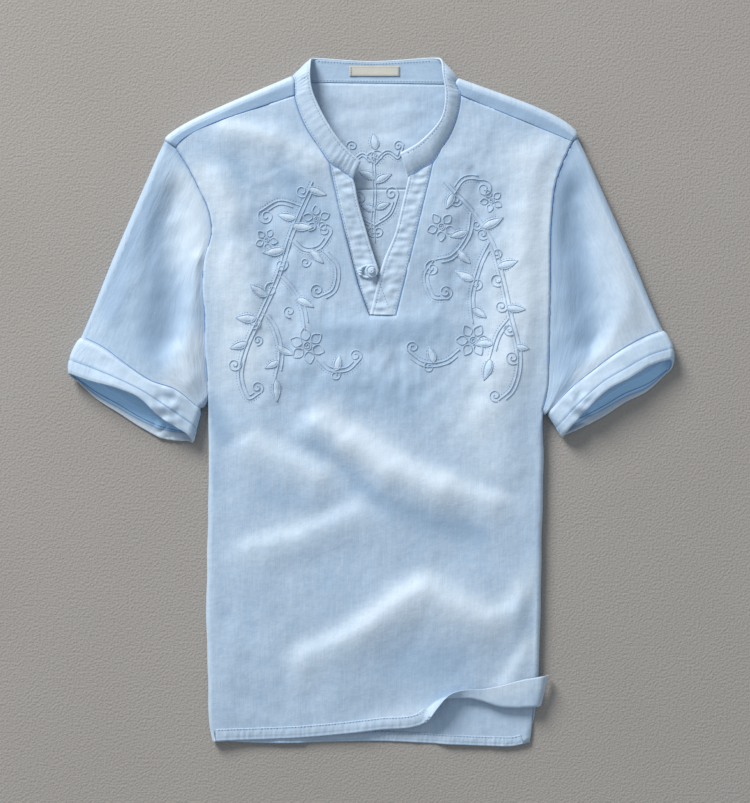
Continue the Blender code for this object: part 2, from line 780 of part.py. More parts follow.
def sleeve(name: str, side: int) -> bpy.types.Object:
    """Build one sleeve, its end held inside the cuff."""
    columns = 2 * TOP_ROW + 2 + 2 * BEND

    def place(column: int, row: int, depth: int) -> tuple:
        """Return a corner of the sleeve."""
        along = row / SLEEVE_ROWS if row <= SLEEVE_ROWS else 1.0 + (row - SLEEVE_ROWS) / CUFF_ROWS
        inset = CUFF_INSET * ease((along - 0.55) / 0.4)
        return tube_corner(side, column % columns, along, inset + WALL * depth)

    return cloth(name, columns, SLEEVE_ROWS + SLEEVE_END_ROWS, place, LINEN_BLUE, ring=True)


def cuff(name: str, side: int) -> bpy.types.Object:
    """Build one turned-up cuff round the sleeve's end."""
    columns = 2 * TOP_ROW + 2 + 2 * BEND

    def place(column: int, row: int, depth: int) -> tuple:
        """Return a corner of the cuff."""
        return tube_corner(side, column % columns, 1.0 + row / CUFF_ROWS, CUFF_WALL * depth)

    return cloth(name, columns, CUFF_ROWS, place, LINEN_BLUE, ring=True)


def collar_seam() -> list:
    """Return the collar's lower edge: points in space and the way its wall goes in."""
    seam = []
    down = Vector((0.0, 0.0, -1.0))
    for side in (0, 1):
        clear = GAP if side == 0 else -GAP
        neck = beside(opening(side), -clear)
        half = []
        front = Vector((BANDS[-1].left_x, BANDS[-1].left_y))
        if side == 1:
            front = Vector((BANDS[-1].right_x, BANDS[-1].right_y))
        for step in range(2):
            point = front.lerp(neck[PLACKET_TOP], step / 2.0) + Vector((0.0, 2.0 * GAP))
            half.append((point.to_3d() + Vector((0.0, 0.0, front_top(point.x, point.y))), down))
        for level in range(PLACKET_TOP, TOP_ROW + 1):
            point = neck[level]
            half.append((point.to_3d() + Vector((0.0, 0.0, front_top(point.x, point.y))), down))
        centre, outward = shoulder_at(side, 1.0)
        inward = Vector((outward.y, -outward.x)) * (1.0 if side == 0 else -1.0)
        centre = centre + inward * 2.0 * GAP
        top = centre.to_3d() + Vector((0.0, 0.0, 2.0 * SHOULDER_ROLL))
        half.append((half[-1][0].lerp(top, 0.5), down))
        for step in range(BEND + 1):
            angle = 0.5 * math.pi - math.pi * step / BEND
            point = Vector(roll_point(centre, outward, SHOULDER_ROLL, angle, 0.0))
            into = -outward.to_3d() * math.cos(angle) - Vector((0.0, 0.0, math.sin(angle)))
            half.append((point, into))
        seam.append(half)
    left, right = seam
    lift = Vector((0.0, 2.0 * GAP, 0.0))
    left[-1] = (left[-1][0] + lift, left[-1][1])
    right[-1] = (right[-1][0] + lift, right[-1][1])
    back = []
    for step in range(1, NECK):
        back.append((left[-1][0].lerp(right[-1][0], step / NECK), Vector((0.0, 0.0, 1.0))))
    return left + back + right[::-1]


def collar_band() -> bpy.types.Object:
    """Build the band collar, standing in front and lying open at the back."""
    seam = collar_seam()
    columns = len(seam) - 1

    def place(column: int, row: int, depth: int) -> tuple:
        """Return a corner of the collar."""
        low, into = seam[column]
        edge = at(COLLAR_EDGE, column)
        high = Vector((edge.x, edge.y, edge.z))
        share = row / COLLAR_ROWS
        crown = -into * COLLAR_CROWN * math.sin(math.pi * share) * max(-into.z, 0.0)
        point = low.lerp(high, share) + crown + into * COLLAR_WALL * depth
        return point.x, point.y, max(point.z, COLLAR_WALL * depth * max(into.z, 0.0))

    return cloth("collar_band", columns, COLLAR_ROWS, place, LINEN_BLUE)


def placket(name: str, side: int) -> bpy.types.Object:
    """Build one opening band, from the foot of the opening to the collar."""
    sign = 1.0 if side == 0 else -1.0
    outer = beside(opening(side), -SEAM * sign)
    rows = PLACKET_TOP - APEX

    def place(column: int, row: int, depth: int) -> tuple:
        """Return a corner of the band."""
        band = BANDS[row]
        inner = Vector((band.left_x, band.left_y) if side == 0 else (band.right_x, band.right_y))
        start = outer[APEX + row]
        if row == 0:
            start = start + Vector((0.0, GAP))
        point = start.lerp(inner, column / BAND_COLUMNS)
        drop = band.drop if side == 0 else -0.3 * column / BAND_COLUMNS
        return point.x, point.y, front_top(point.x, point.y) - drop - BAND_WALL * depth

    return cloth(name, BAND_COLUMNS, rows, place, LINEN_BLUE)


def knot_button() -> bpy.types.Object:
    """Build the knotted button on its shank."""
    mesh = bmesh.new()
    rings = len(BUTTON_TURNS) - 1
    bmesh.ops.create_uvsphere(mesh, u_segments=BUTTON_SIDES, v_segments=rings, radius=1.0)
    seat = front_top(*BUTTON_AT) - at(BANDS, 4.6).drop + GAP
    for vert in mesh.verts:
        ring = round(math.acos(min(max(-vert.co.z, -1.0), 1.0)) * rings / math.pi)
        turn = BUTTON_TURNS[ring]
        around = math.atan2(vert.co.y, vert.co.x)
        lobe = 1.0 + BUTTON_LOBE_DEPTH * math.cos(BUTTON_LOBES * around + ring) * (ring > 2)
        x = BUTTON_AT[0] + math.cos(around) * turn.radius * lobe
        y = BUTTON_AT[1] + math.sin(around) * turn.radius * lobe
        vert.co = Vector((x, y, seat + turn.height)) * MM
    return finish("knot_button", mesh, LINEN_BLUE)


def button_loop() -> bpy.types.Object:
    """Build the cord loop that goes round the button's shank."""
    bpy.ops.mesh.primitive_torus_add(major_segments=20, minor_segments=6, major_radius=1.0, minor_radius=0.1)
    torus = bpy.context.active_object
    mesh = bmesh.new()
    mesh.from_mesh(torus.data)
    bpy.data.objects.remove(torus)
    seat = front_top(*LOOP_AT) - at(BANDS, 4.6).drop + GAP
    for vert in mesh.verts:
        around = math.atan2(vert.co.y, vert.co.x)
        out = (math.hypot(vert.co.x, vert.co.y) - 1.0) / 0.1 * LOOP_CORD
        x = LOOP_AT[0] + math.cos(around) * (LOOP_REACH[0] + out)
        y = LOOP_AT[1] + math.sin(around) * (LOOP_REACH[1] + out)
        vert.co = Vector((x, y, seat + LOOP_CORD + vert.co.z / 0.1 * LOOP_CORD)) * MM
    return finish("button_loop", mesh, LINEN_BLUE)


def size_label() -> bpy.types.Object:
    """Build the bare woven label inside the back collar."""
    mesh = bmesh.new()
    bmesh.ops.create_cube(mesh, size=1.0)
    rest = COLLAR_WALL + GAP + 0.5 * LABEL_SIZE[2]
    for vert in mesh.verts:
        x = LABEL_AT[0] + vert.co.x * LABEL_SIZE[0]
        y = LABEL_AT[1] + vert.co.y * LABEL_SIZE[1]
        vert.co = Vector((x, y, rest + vert.co.z * LABEL_SIZE[2])) * MM
    return finish("size_label", mesh, LABEL_CREAM)


def main() -> None:
    """Clear the scene and build the shirt's pieces."""
    for thing in list(bpy.data.objects):
        bpy.data.objects.remove(thing)
    front_panel()
    back_panel()
    yoke()
    sleeve("sleeve_left", 0)
    sleeve("sleeve_right", 1)
    cuff("cuff_left", 0)
    cuff("cuff_right", 1)
    collar_band()
    placket("placket_left", 0)
    placket("placket_right", 1)
    knot_button()
    button_loop()
    size_label()


main()
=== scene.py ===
"""Looks of a short-sleeved linen pullover shirt, laid flat and seen from above.

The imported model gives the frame. Every cloth node is replaced by a thin, finely
folded shell on the same form, with its seams, stitches and stitched ornament.
Forms are worked out in millimetres and turned to metres by MM.
"""
from __future__ import annotations

import logging
import math
from dataclasses import dataclass, field
from enum import Enum
from typing import Callable, NamedTuple, Sequence

import bmesh
import bpy
from mathutils import Matrix, Vector, noise
from mathutils.bvhtree import BVHTree


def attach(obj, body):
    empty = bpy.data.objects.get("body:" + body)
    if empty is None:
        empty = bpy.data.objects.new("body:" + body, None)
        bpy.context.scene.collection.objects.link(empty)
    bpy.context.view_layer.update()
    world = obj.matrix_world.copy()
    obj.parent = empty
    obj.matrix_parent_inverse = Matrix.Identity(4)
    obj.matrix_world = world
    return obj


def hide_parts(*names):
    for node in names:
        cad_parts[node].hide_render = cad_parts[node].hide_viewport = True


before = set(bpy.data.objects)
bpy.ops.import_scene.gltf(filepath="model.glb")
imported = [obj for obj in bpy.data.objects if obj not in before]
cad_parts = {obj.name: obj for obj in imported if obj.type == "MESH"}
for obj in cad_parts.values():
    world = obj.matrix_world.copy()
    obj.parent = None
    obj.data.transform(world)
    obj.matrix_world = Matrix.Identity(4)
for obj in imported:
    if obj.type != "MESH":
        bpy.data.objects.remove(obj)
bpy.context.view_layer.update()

LOG = logging.getLogger("shirt")
MM = 0.001
BODY = "root"


class Hand(Enum):
    """A side of the picture, with the sign of its x."""

    LEFT = -1
    RIGHT = 1

    @property
    def index(self) -> int:
        """Return the side's place in a pair, left first."""
        return 0 if self is Hand.LEFT else 1


class Side(NamedTuple):
    """One level of the body: side edges, their roll, and the front's height."""

    y: float
    left: float
    right: float
    roll: float
    middle: float


class Chest(NamedTuple):
    """One seam level above the armpits: armholes and opening, on both sides."""

    level: float
    left_x: float
    left_y: float
    inner_left_x: float
    inner_left_y: float
    inner_right_x: float
    inner_right_y: float
    right_x: float
    right_y: float


class Hem(NamedTuple):
    """The front's hem strip at one x: its start, length and turn in degrees."""

    x: float
    start: float
    length: float
    turn: float


class Tuck(NamedTuple):
    """How far a side is tucked under at a drop below its armpit."""

    drop: float
    width: float
    lift: float


class Fold(NamedTuple):
    """One straight run of a soft fold: its ends, half width and rise."""

    x1: float
    y1: float
    x2: float
    y2: float
    width: float
    rise: float


class Station(NamedTuple):
    """One share of the way round a sleeve's end: cuff edge and both rims."""

    share: float
    edge_x: float
    edge_y: float
    rim_x: float
    rim_y: float
    low_x: float
    low_y: float
    height: float


class Edge(NamedTuple):
    """One station of the collar's free edge."""

    column: float
    x: float
    y: float
    z: float


class Band(NamedTuple):
    """One seam level of the opening bands: inner edges and the lower one's drop."""

    level: float
    left_x: float
    left_y: float
    right_x: float
    right_y: float
    drop: float

    def inner(self, hand: Hand) -> Vector:
        """Return one band's free edge in plan."""
        return Vector((self.left_x, self.left_y) if hand is Hand.LEFT else (self.right_x, self.right_y))


class Place(NamedTuple):
    """A place in plan, read by its x."""

    x: float
    y: float


class Ring(NamedTuple):
    """One station of an armhole, read by its number, with its share of the way."""

    index: float
    x: float
    y: float
    share: float


class Seam(NamedTuple):
    """One station of the collar's seam and the way its wall goes in."""

    column: float
    x: float
    y: float
    z: float
    into_x: float
    into_y: float
    into_z: float


class Leaf(NamedTuple):
    """A leaf of the ornament: its foot, heading in degrees, size and sideways bend."""

    x: float
    y: float
    heading: float
    length: float
    width: float
    bend: float


class Curl(NamedTuple):
    """A spiral of the ornament: its start, heading, radius, turns and hand."""

    x: float
    y: float
    heading: float
    radius: float
    turns: float
    hand: int


class Blossom(NamedTuple):
    """A blossom of the ornament: its middle, radius, petals and turn in degrees."""

    x: float
    y: float
    radius: float
    petals: float
    turn: float


class Sheet(NamedTuple):
    """A sheet of cloth: the size it was cut to in metres, how it lies, and what is on it."""

    name: str
    width: float
    length: float
    area: float | None
    held: str
    rests_on: tuple
    with_pieces: tuple = ()


class Crumple(NamedTuple):
    """Soft noise on the cloth: its height, width, seed and squeeze along y."""

    rise: float
    width: float
    seed: float
    squeeze: float = 1.0

    def at(self, x: float, y: float) -> float:
        """Return the noise's height at a place."""
        return self.rise * crumple(x, y * self.squeeze, self.width, self.seed)


class Ripple(NamedTuple):
    """Puckers along a seam: their height, pitch, unevenness and reach from it."""

    rise: float
    pitch: float
    warp: Crumple
    reach: float

    def at(self, run: float, x: float, y: float, away: float) -> float:
        """Return the ripple's height at a run along the seam and a distance from it."""
        return self.rise * math.sin(run / self.pitch + self.warp.at(x, y)) * math.exp(-away / self.reach)


# How fold lines wander, how much wider a fold's soft side is, which way is steep, and where a fold ends.
WARP_X = Crumple(4.0, 75.0, 201.0)
WARP_Y = Crumple(4.0, 75.0, 203.0)
SOFT_SIDE = 2.3
STEEP_X = 0.35
STEEP_Y = 0.94
FAR = 7.0
# Half widths of stitched grooves as shares across, the step of laid lines, and the steps of half a leaf.
STITCH_LINE = 0.035
COLLAR_LINE = 0.04
BAND_LINE = 0.08
POINT_STEP = 1.7
LEAF_STEPS = 12


def mix(start: float, end: float, share: float) -> float:
    """Return the value at a share of the way from start to end."""
    return start + (end - start) * share


def clamp(value: float, low: float = 0.0, high: float = 1.0) -> float:
    """Return the value kept between two limits."""
    return min(max(value, low), high)


def ease(value: float) -> float:
    """Return a soft step from 0 to 1 as value goes from 0 to 1."""
    value = clamp(value)
    return value * value * (3.0 - 2.0 * value)


def groove(place: float, middle: float, width: float) -> float:
    """Return 1 on a line across the cloth, fading to 0 away from it."""
    return math.exp(-(((place - middle) / width) ** 2))


def smooth(table: Sequence, key: float):
    """Read a table at a key on a smooth curve through its rows.

    Args:
        table: Rows whose first value is the key, in rising order.
        key: Where to read.

    Returns:
        A row of the table's own type.
    """
    last = len(table) - 1
    if key <= table[0][0]:
        return table[0]
    if key >= table[last][0]:
        return table[last]
    at = next(index for index in range(last) if key <= table[index + 1][0])
    low, high = table[at], table[at + 1]
    span = high[0] - low[0]
    share = (key - low[0]) / span
    before, after = table[max(at - 1, 0)], table[min(at + 2, last)]
    square, cube = share * share, share * share * share
    values = []
    for b, p, q, a in zip(before, low, high, after):
        slope = (q - p) / span
        start = slope_at(p - b, low[0] - before[0], slope)
        end = slope_at(a - q, after[0] - high[0], slope)
        values.append(
            (2 * cube - 3 * square + 1) * p
            + (cube - 2 * square + share) * start * span
            + (3 * square - 2 * cube) * q
            + (cube - square) * end * span
        )
    return type(low)(*values)


def slope_at(rise: float, run: float, slope: float) -> float:
    """Return the slope at a table's row, without overshoot.

    Args:
        rise: Change of the value on the row's other side.
        run: Change of the key there, 0 at the table's end.
        slope: Slope on this side.

    Returns:
        The slope of the curve at the row.
    """
    if run <= 0.0:
        return slope
    other = rise / run
    if other * slope <= 0.0:
        return 0.0
    mean = 0.5 * (other + slope)
    limit = 3.0 * min(abs(other), abs(slope))
    return math.copysign(min(abs(mean), limit), slope)


def relief(folds: Sequence[Fold], x: float, y: float) -> float:
    """Return the height that a table of folds adds at a place.

    Args:
        folds: Ridges, and hollows with a negative rise.
        x: Place across, in millimetres.
        y: Place along, in millimetres.

    Returns:
        The height in millimetres.
    """
    crest = 0.0
    hollow = 0.0
    x, y = x + WARP_X.at(x, y), y + WARP_Y.at(x, y)
    for x1, y1, x2, y2, width, rise in folds:
        run_x, run_y = x2 - x1, y2 - y1
        reach = clamp(((x - x1) * run_x + (y - y1) * run_y) / (run_x * run_x + run_y * run_y))
        away_x, away_y = x - x1 - run_x * reach, y - y1 - run_y * reach
        if rise > 0.0:
            away = math.hypot(away_x, away_y) + 0.001
            width *= mix(SOFT_SIDE, 1.0, 0.5 + 0.5 * (STEEP_Y * away_y - STEEP_X * away_x) / away)
        square = (away_x * away_x + away_y * away_y) / (width * width)
        if square > FAR:
            continue
        height = rise * math.exp(-square)
        if height > 0.0:
            crest += height ** 4
        else:
            hollow += height ** 4
    return crest ** 0.25 - hollow ** 0.25


def crumple(x: float, y: float, wide: float, seed: float) -> float:
    """Return soft noise from -1 to 1 with features of about the given width."""
    return noise.noise(Vector((x / wide, y / wide, seed)))


@dataclass(frozen=True)
class Body:
    """The laid body: its outline, its seams, and how high its cloth lies."""

    wall: float = 1.2
    gap: float = 0.3
    shoulder_roll: float = 7.0
    top_row: int = 13
    yoke_row: int = 8
    opening_row: int = 9
    apex: int = 3
    armpits: tuple = ((-174.4, 1.6), (185.2, -14.6))
    shoulder_tips: tuple = ((-222.0, 281.3), (223.5, 284.5))
    shoulder_necks: tuple = ((-84.8, 350.5), (94.5, 348.3))
    yoke_seam_bow: tuple = (9.0, 0.0)
    shoulder_bow: tuple = (5.5, 9.5)
    sides: tuple = (
        Side(-372, -170, 176, 4.4, 5),
        Side(-350, -174, 179, 4.8, 6.4),
        Side(-300, -175, 180.9, 5.6, 9.5),
        Side(-209, -176.8, 183.5, 6.3, 12),
        Side(-85, -174.2, 185.8, 6.5, 13),
        Side(10, -175, 187.5, 6.5, 13.5),
        Side(60, -177.8, 191.7, 6.8, 13),
        Side(125, -180.3, 192.8, 7, 12),
        Side(184, -170.6, 193.2, 7, 12),
        Side(229, -184, 197.3, 7, 12.5),
        Side(283, -216, 218, 7, 14),
    )
    chest: tuple = (
        Chest(0, -174.4, 8.1, -1.6, 0, 27.3, 0, 185.2, -8.1),
        Chest(1, -175.6, 30, -1.6, 30, 27.3, 30, 191, 20),
        Chest(2, -177.8, 60, -1.6, 60, 27.3, 60, 191.7, 55),
        Chest(3, -178, 92.5, -1.6, 92.5, 27.3, 92.5, 192.4, 92.5),
        Chest(4, -180.3, 122, -12.4, 122, 34.5, 122, 192.8, 122),
        Chest(5, -178.3, 152, -20.5, 153, 41.8, 152, 192.8, 152),
        Chest(6, -170.6, 184, -28.8, 186, 49.6, 184, 193.2, 184),
        Chest(7, -174.5, 207.5, -36, 218, 57.5, 216.5, 195, 210),
        Chest(8, -184, 228.4, -41.5, 243, 63.5, 241, 197.3, 229),
        Chest(9, -190, 240.5, -44.8, 257.6, 67.5, 257.6, 200.5, 241.5),
        Chest(10, -196, 251.7, -54.5, 271.6, 75.1, 269.5, 204.5, 253),
        Chest(11, -202.5, 262.5, -67.5, 291, 86.5, 288, 209.5, 264.5),
        Chest(12, -206, 268, -76.1, 309.4, 93.8, 308, 213.4, 272.5),
        Chest(13, -209, 272.5, -81.5, 328.9, 97, 328.9, 217, 279.5),
    )
    tucks: tuple = (
        Tuck(-25, 4, 0),
        Tuck(-6.5, 4, 3),
        Tuck(0, 6, 3),
        Tuck(40, 34, 3),
        Tuck(95, 76, 3),
    )
    back_clear: float = 14.0
    back_ramp: float = 12.0
    edge_wave: float = 1.1
    edge_wave_length: float = 42.0
    stitched: tuple = ((-94.0, 130.0, 62.0, 150.0), (106.0, 130.0, 62.0, 150.0), (10.0, 40.0, 90.0, 50.0))
    gather_rise: float = 1.7
    gathers: tuple = (Crumple(1.0, 12.0, 15.0, 0.8), Crumple(0.5, 6.0, 17.0), Crumple(1.0, 20.0, 19.0, 0.45))
    side_slope: float = 45.0
    side_calm: float = 22.0
    side_share: float = 0.4
    broad: Crumple = Crumple(2.2, 62.0, 3.0, 0.8)
    middling: Crumple = Crumple(0.9, 24.0, 7.0, 0.7)
    fine: Crumple = Crumple(0.24, 9.0, 11.0, 0.6)
    large_folds: tuple = (
        Fold(-58, -24, -26, -43, 12, 7),
        Fold(-26, -42, 22, -72, 12, 8.5),
        Fold(22, -72, 73, -94, 13, 8.5),
        Fold(73, -94, 127, -112, 13, 6),
        Fold(-127, -46, -62, -79, 12, 5),
        Fold(-126, -159, -79, -148, 11, 3.6),
        Fold(-79, -148, -14, -121, 11, 3.6),
        Fold(-72, -277, -36, -262, 12, 4.5),
        Fold(-36, -262, 0, -242, 13, 6),
        Fold(0, -242, 36, -213, 14, 7),
        Fold(36, -213, 54, -203, 14, 7),
        Fold(54, -203, 121, -236, 14, 6.5),
        Fold(121, -236, 156, -226, 12, 4.5),
        Fold(156, -226, 184, -190, 11, 4.5),
        Fold(149, -304, 178, -264, 10, 3.2),
        Fold(-8, -352, 62, -338, 11, 2.5),
        Fold(182, 262, 182, 206, 16, 3.4),
        Fold(182, 206, 176, 130, 20, 3.4),
        Fold(176, 130, 150, 46, 19, 4.4),
        Fold(148, 46, 132, -6, 16, 4.5),
        Fold(132, -6, 142, -66, 15, 3.5),
        Fold(-176, 236, -148, 204, 13, 4.5),
        Fold(-138, 160, -122, 50, 20, 4.5),
        Fold(-155, 292, -102, 285, 9, 3.2),
        Fold(-102, 285, -60, 261, 9, 2.8),
        Fold(-112, 200, -92, 60, 22, -3),
        Fold(112, 210, 106, 60, 24, -3),
        Fold(-44, 82, 66, 84, 8, 2),
        Fold(-166, -6, -140, -28, 9, 2.2),
        Fold(-158, 12, -120, 30, 9, 1.6),
        Fold(178, -10, 150, 26, 9, 2),
        Fold(84, -20, 120, -64, 9, 1.4),
        Fold(-20, 40, 24, 10, 12, 1.2),
        Fold(-150, -250, -96, -300, 12, 1.4),
        Fold(-160, -330, -120, -342, 9, 1.2),
    )
    # Painted light on the front's colour: rows with a positive rise paint highlights along the fold crests,
    # rows with a negative rise paint shade.
    painted_light: tuple = (
        Fold(-50, -8, -22, -33, 12, 1.5),
        Fold(-22, -33, 19, -60, 12, 2.1),
        Fold(19, -60, 77, -86, 12, 1.8),
        Fold(77, -86, 131, -104, 12, 1.2),
        Fold(-123, -39, -58, -72, 12, 1.1),
        Fold(-129, -151, -17, -113, 12, 0.9),
        Fold(-76, -269, -5, -234, 12, 1.1),
        Fold(-5, -234, 53, -193, 14, 1.5),
        Fold(53, -193, 125, -227, 13, 1.3),
        Fold(125, -227, 178, -181, 11, 0.9),
        Fold(142, -299, 172, -258, 11, 0.9),
        Fold(-11, -350, 48, -341, 10, 0.9),
        Fold(172, 267, 178, 202, 22, 1.4),
        Fold(178, 202, 160, 132, 24, 1.7),
        Fold(160, 132, 137, 49, 22, 1.5),
        Fold(137, 49, 118, -4, 20, 1.1),
        Fold(118, -4, 130, -63, 18, 0.8),
        Fold(-185, 243, -158, 214, 15, 1.5),
        Fold(-155, 160, -140, 50, 20, 1.2),
        Fold(-153, 298, -58, 267, 10, 1.2),
        Fold(-62, -46, 10, -100, 14, -0.5),
        Fold(10, -100, 113, -143, 16, -0.5),
        Fold(-172, 0, -158, -38, 13, -0.6),
        Fold(-112, -90, -41, -118, 20, -0.25),
        Fold(19, -272, 90, -280, 24, -0.3),
        Fold(-150, 262, -105, 156, 14, -0.3),
        Fold(-180, 100, -172, -80, 12, -0.3),
        Fold(-96, 26, 40, 2, 24, -0.32),
        Fold(-94, 256, -66, 196, 18, -0.6),
        Fold(-50, 74, 70, 76, 18, -0.4),
    )

    def side(self, y: float) -> Side:
        """Return the side row at a level, its edges gently wavy.

        Args:
            y: Place along, in millimetres.

        Returns:
            The row at that level.
        """
        row = smooth(self.sides, y)
        left = row.left + self.edge_wave * crumple(y, 0.0, self.edge_wave_length, 101.0)
        right = row.right + self.edge_wave * crumple(y, 0.0, self.edge_wave_length, 103.0)
        return Side(row.y, left, right, row.roll, row.middle)

    def seam(self, level: float) -> Chest:
        """Return the seams at a level above the armpits."""
        return smooth(self.chest, level)

    def arm(self, hand: Hand, level: float) -> Vector:
        """Return an armhole seam's point in plan.

        Args:
            hand: Side of the picture.
            level: Seam level above the armpits.

        Returns:
            The point in millimetres.
        """
        row = self.seam(level)
        if hand is Hand.LEFT:
            return Vector((row.left_x, row.left_y))
        return Vector((row.right_x, row.right_y))

    def opening(self, hand: Hand, level: float) -> Vector:
        """Return a point in plan of one edge of the front's opening and neck.

        Args:
            hand: Side of the picture.
            level: Seam level above the armpits.

        Returns:
            The point in millimetres.
        """
        row = self.seam(level)
        kink = self.opening_row if level > self.opening_row else self.apex
        if kink < level < kink + 1 or level < self.apex:
            low, high = self.chest[int(level)], self.chest[min(int(level) + 1, self.top_row)]
            share = level - int(level)
            row = Chest(*(mix(a, b, share) for a, b in zip(low, high)))
        if hand is Hand.LEFT:
            return Vector((row.inner_left_x, row.inner_left_y))
        return Vector((row.inner_right_x, row.inner_right_y))

    def armpit_line(self, share: float) -> float:
        """Return y of the line between the armpits."""
        return mix(self.chest[0].left_y, self.chest[0].right_y, share)

    def tuck(self, y: float, hand: Hand) -> Tuck:
        """Return the tuck at a level of one side."""
        pit = self.armpits[hand.index][1]
        return smooth(self.tucks, pit - y)

    def back_low(self, x: float, y: float) -> float:
        """Return the height of the back panel's under face.

        Args:
            x: Place across, in millimetres.
            y: Place along, in millimetres.

        Returns:
            The height in millimetres.
        """
        level = self.side(y)
        heights = []
        for hand, inside in ((Hand.LEFT, x - level.left), (Hand.RIGHT, level.right - x)):
            tuck = self.tuck(y, hand)
            ramp = ease((inside - level.roll - tuck.width - self.back_clear) / self.back_ramp)
            heights.append(tuck.lift * (1.0 - ramp))
        return max(heights)

    def shoulder(self, hand: Hand, share: float) -> tuple[Vector, Vector]:
        """Return the shoulder roll's centre and outward way, share 0 at the tip.

        Args:
            hand: Side of the picture.
            share: Share of the way, from 0 to 1.

        Returns:
            The centre and the way, both in plan.
        """
        index = hand.index
        tip = Vector(self.shoulder_tips[index])
        neck = Vector(self.shoulder_necks[index])
        tip_out = (tip - self.arm(hand, self.top_row)).normalized()
        run = (neck - tip).normalized()
        square = Vector((-run.y, run.x)) * -hand.value
        start = tip - tip_out * self.shoulder_roll
        end = neck - square * self.shoulder_roll
        bow = square * self.shoulder_bow[index] * math.sin(math.pi * math.sqrt(clamp(share)))
        outward = tip_out.lerp(square, ease(share * 4.0)).normalized()
        return start.lerp(end, share) + bow, outward

    def yoke_seam(self, hand: Hand, share: float) -> Vector:
        """Return a point of the yoke's front seam, share 0 at the armhole.

        Args:
            hand: Side of the picture.
            share: Share of the way, from 0 to 1.

        Returns:
            The point in plan.
        """
        index = hand.index
        point = self.arm(hand, self.top_row).lerp(self.opening(hand, self.top_row), share)
        bow = self.yoke_seam_bow[index] * math.sin(math.pi * math.sqrt(clamp(share)))
        return point + Vector((0.0, bow))

    def gather(self, x: float, y: float) -> float:
        """Return the small puckers that the ornament's stitches pull into the chest.

        Args:
            x: Place across, in millimetres.
            y: Place along, in millimetres.

        Returns:
            The height in millimetres.
        """
        near = 0.0
        for centre_x, centre_y, wide, long in self.stitched:
            away = ((x - centre_x) / wide) ** 2 + ((y - centre_y) / long) ** 2
            near = max(near, math.exp(-away * away))
        if near < 0.02:
            return 0.0
        return self.gather_rise * near * sum(wave.at(x, y) for wave in self.gathers)

    def top(self, x: float, y: float) -> float:
        """Return the height of the front's upper face, with its large and small folds.

        Args:
            x: Place across, in millimetres.
            y: Place along, in millimetres.

        Returns:
            The height in millimetres.
        """
        level = self.side(y)
        inside = min(x - level.left, level.right - x) - level.roll
        height = mix(2.0 * level.roll, level.middle, ease(inside / self.side_slope))
        near = ease(inside / self.side_calm)
        height += relief(self.large_folds, x, y) * near
        height += self.broad.at(x, y) * near
        height += self.middling.at(x, y) * mix(self.side_share, 1.0, near)
        height += self.fine.at(x, y)
        height += self.gather(x, y)
        return max(height, self.back_low(x, y) + 2.0 * self.wall + 2.0 * self.gap)


FORM = Body()


def node_output(node: bpy.types.Node) -> bpy.types.NodeSocket:
    """Return a node's first output that is switched on."""
    return next(socket for socket in node.outputs if socket.enabled)


class Value:
    """A number socket that adds Math nodes as it is used in an expression."""

    def __init__(self, paint: Paint, socket: bpy.types.NodeSocket) -> None:
        """Wrap a socket of the material being painted."""
        self.paint = paint
        self.socket = socket

    def math(self, operation: str, *others: Value | float) -> Value:
        """Return the result of one Math node on this value and others."""
        return Value(self.paint, self.paint.add("ShaderNodeMath", {"operation": operation}, self, *others))

    def __add__(self, other: Value | float) -> Value:
        """Return the sum."""
        return self.math("ADD", other)

    __radd__ = __add__

    def __sub__(self, other: Value | float) -> Value:
        """Return the difference."""
        return self.math("SUBTRACT", other)

    def __rsub__(self, other: float) -> Value:
        """Return a number less this value."""
        return (self * -1.0) + other

    def __mul__(self, other: Value | float) -> Value:
        """Return the product."""
        return self.math("MULTIPLY", other)

    __rmul__ = __mul__

    def clamped(self) -> Value:
        """Return the value kept between 0 and 1."""
        return self.math("MAXIMUM", 0.0).math("MINIMUM", 1.0)


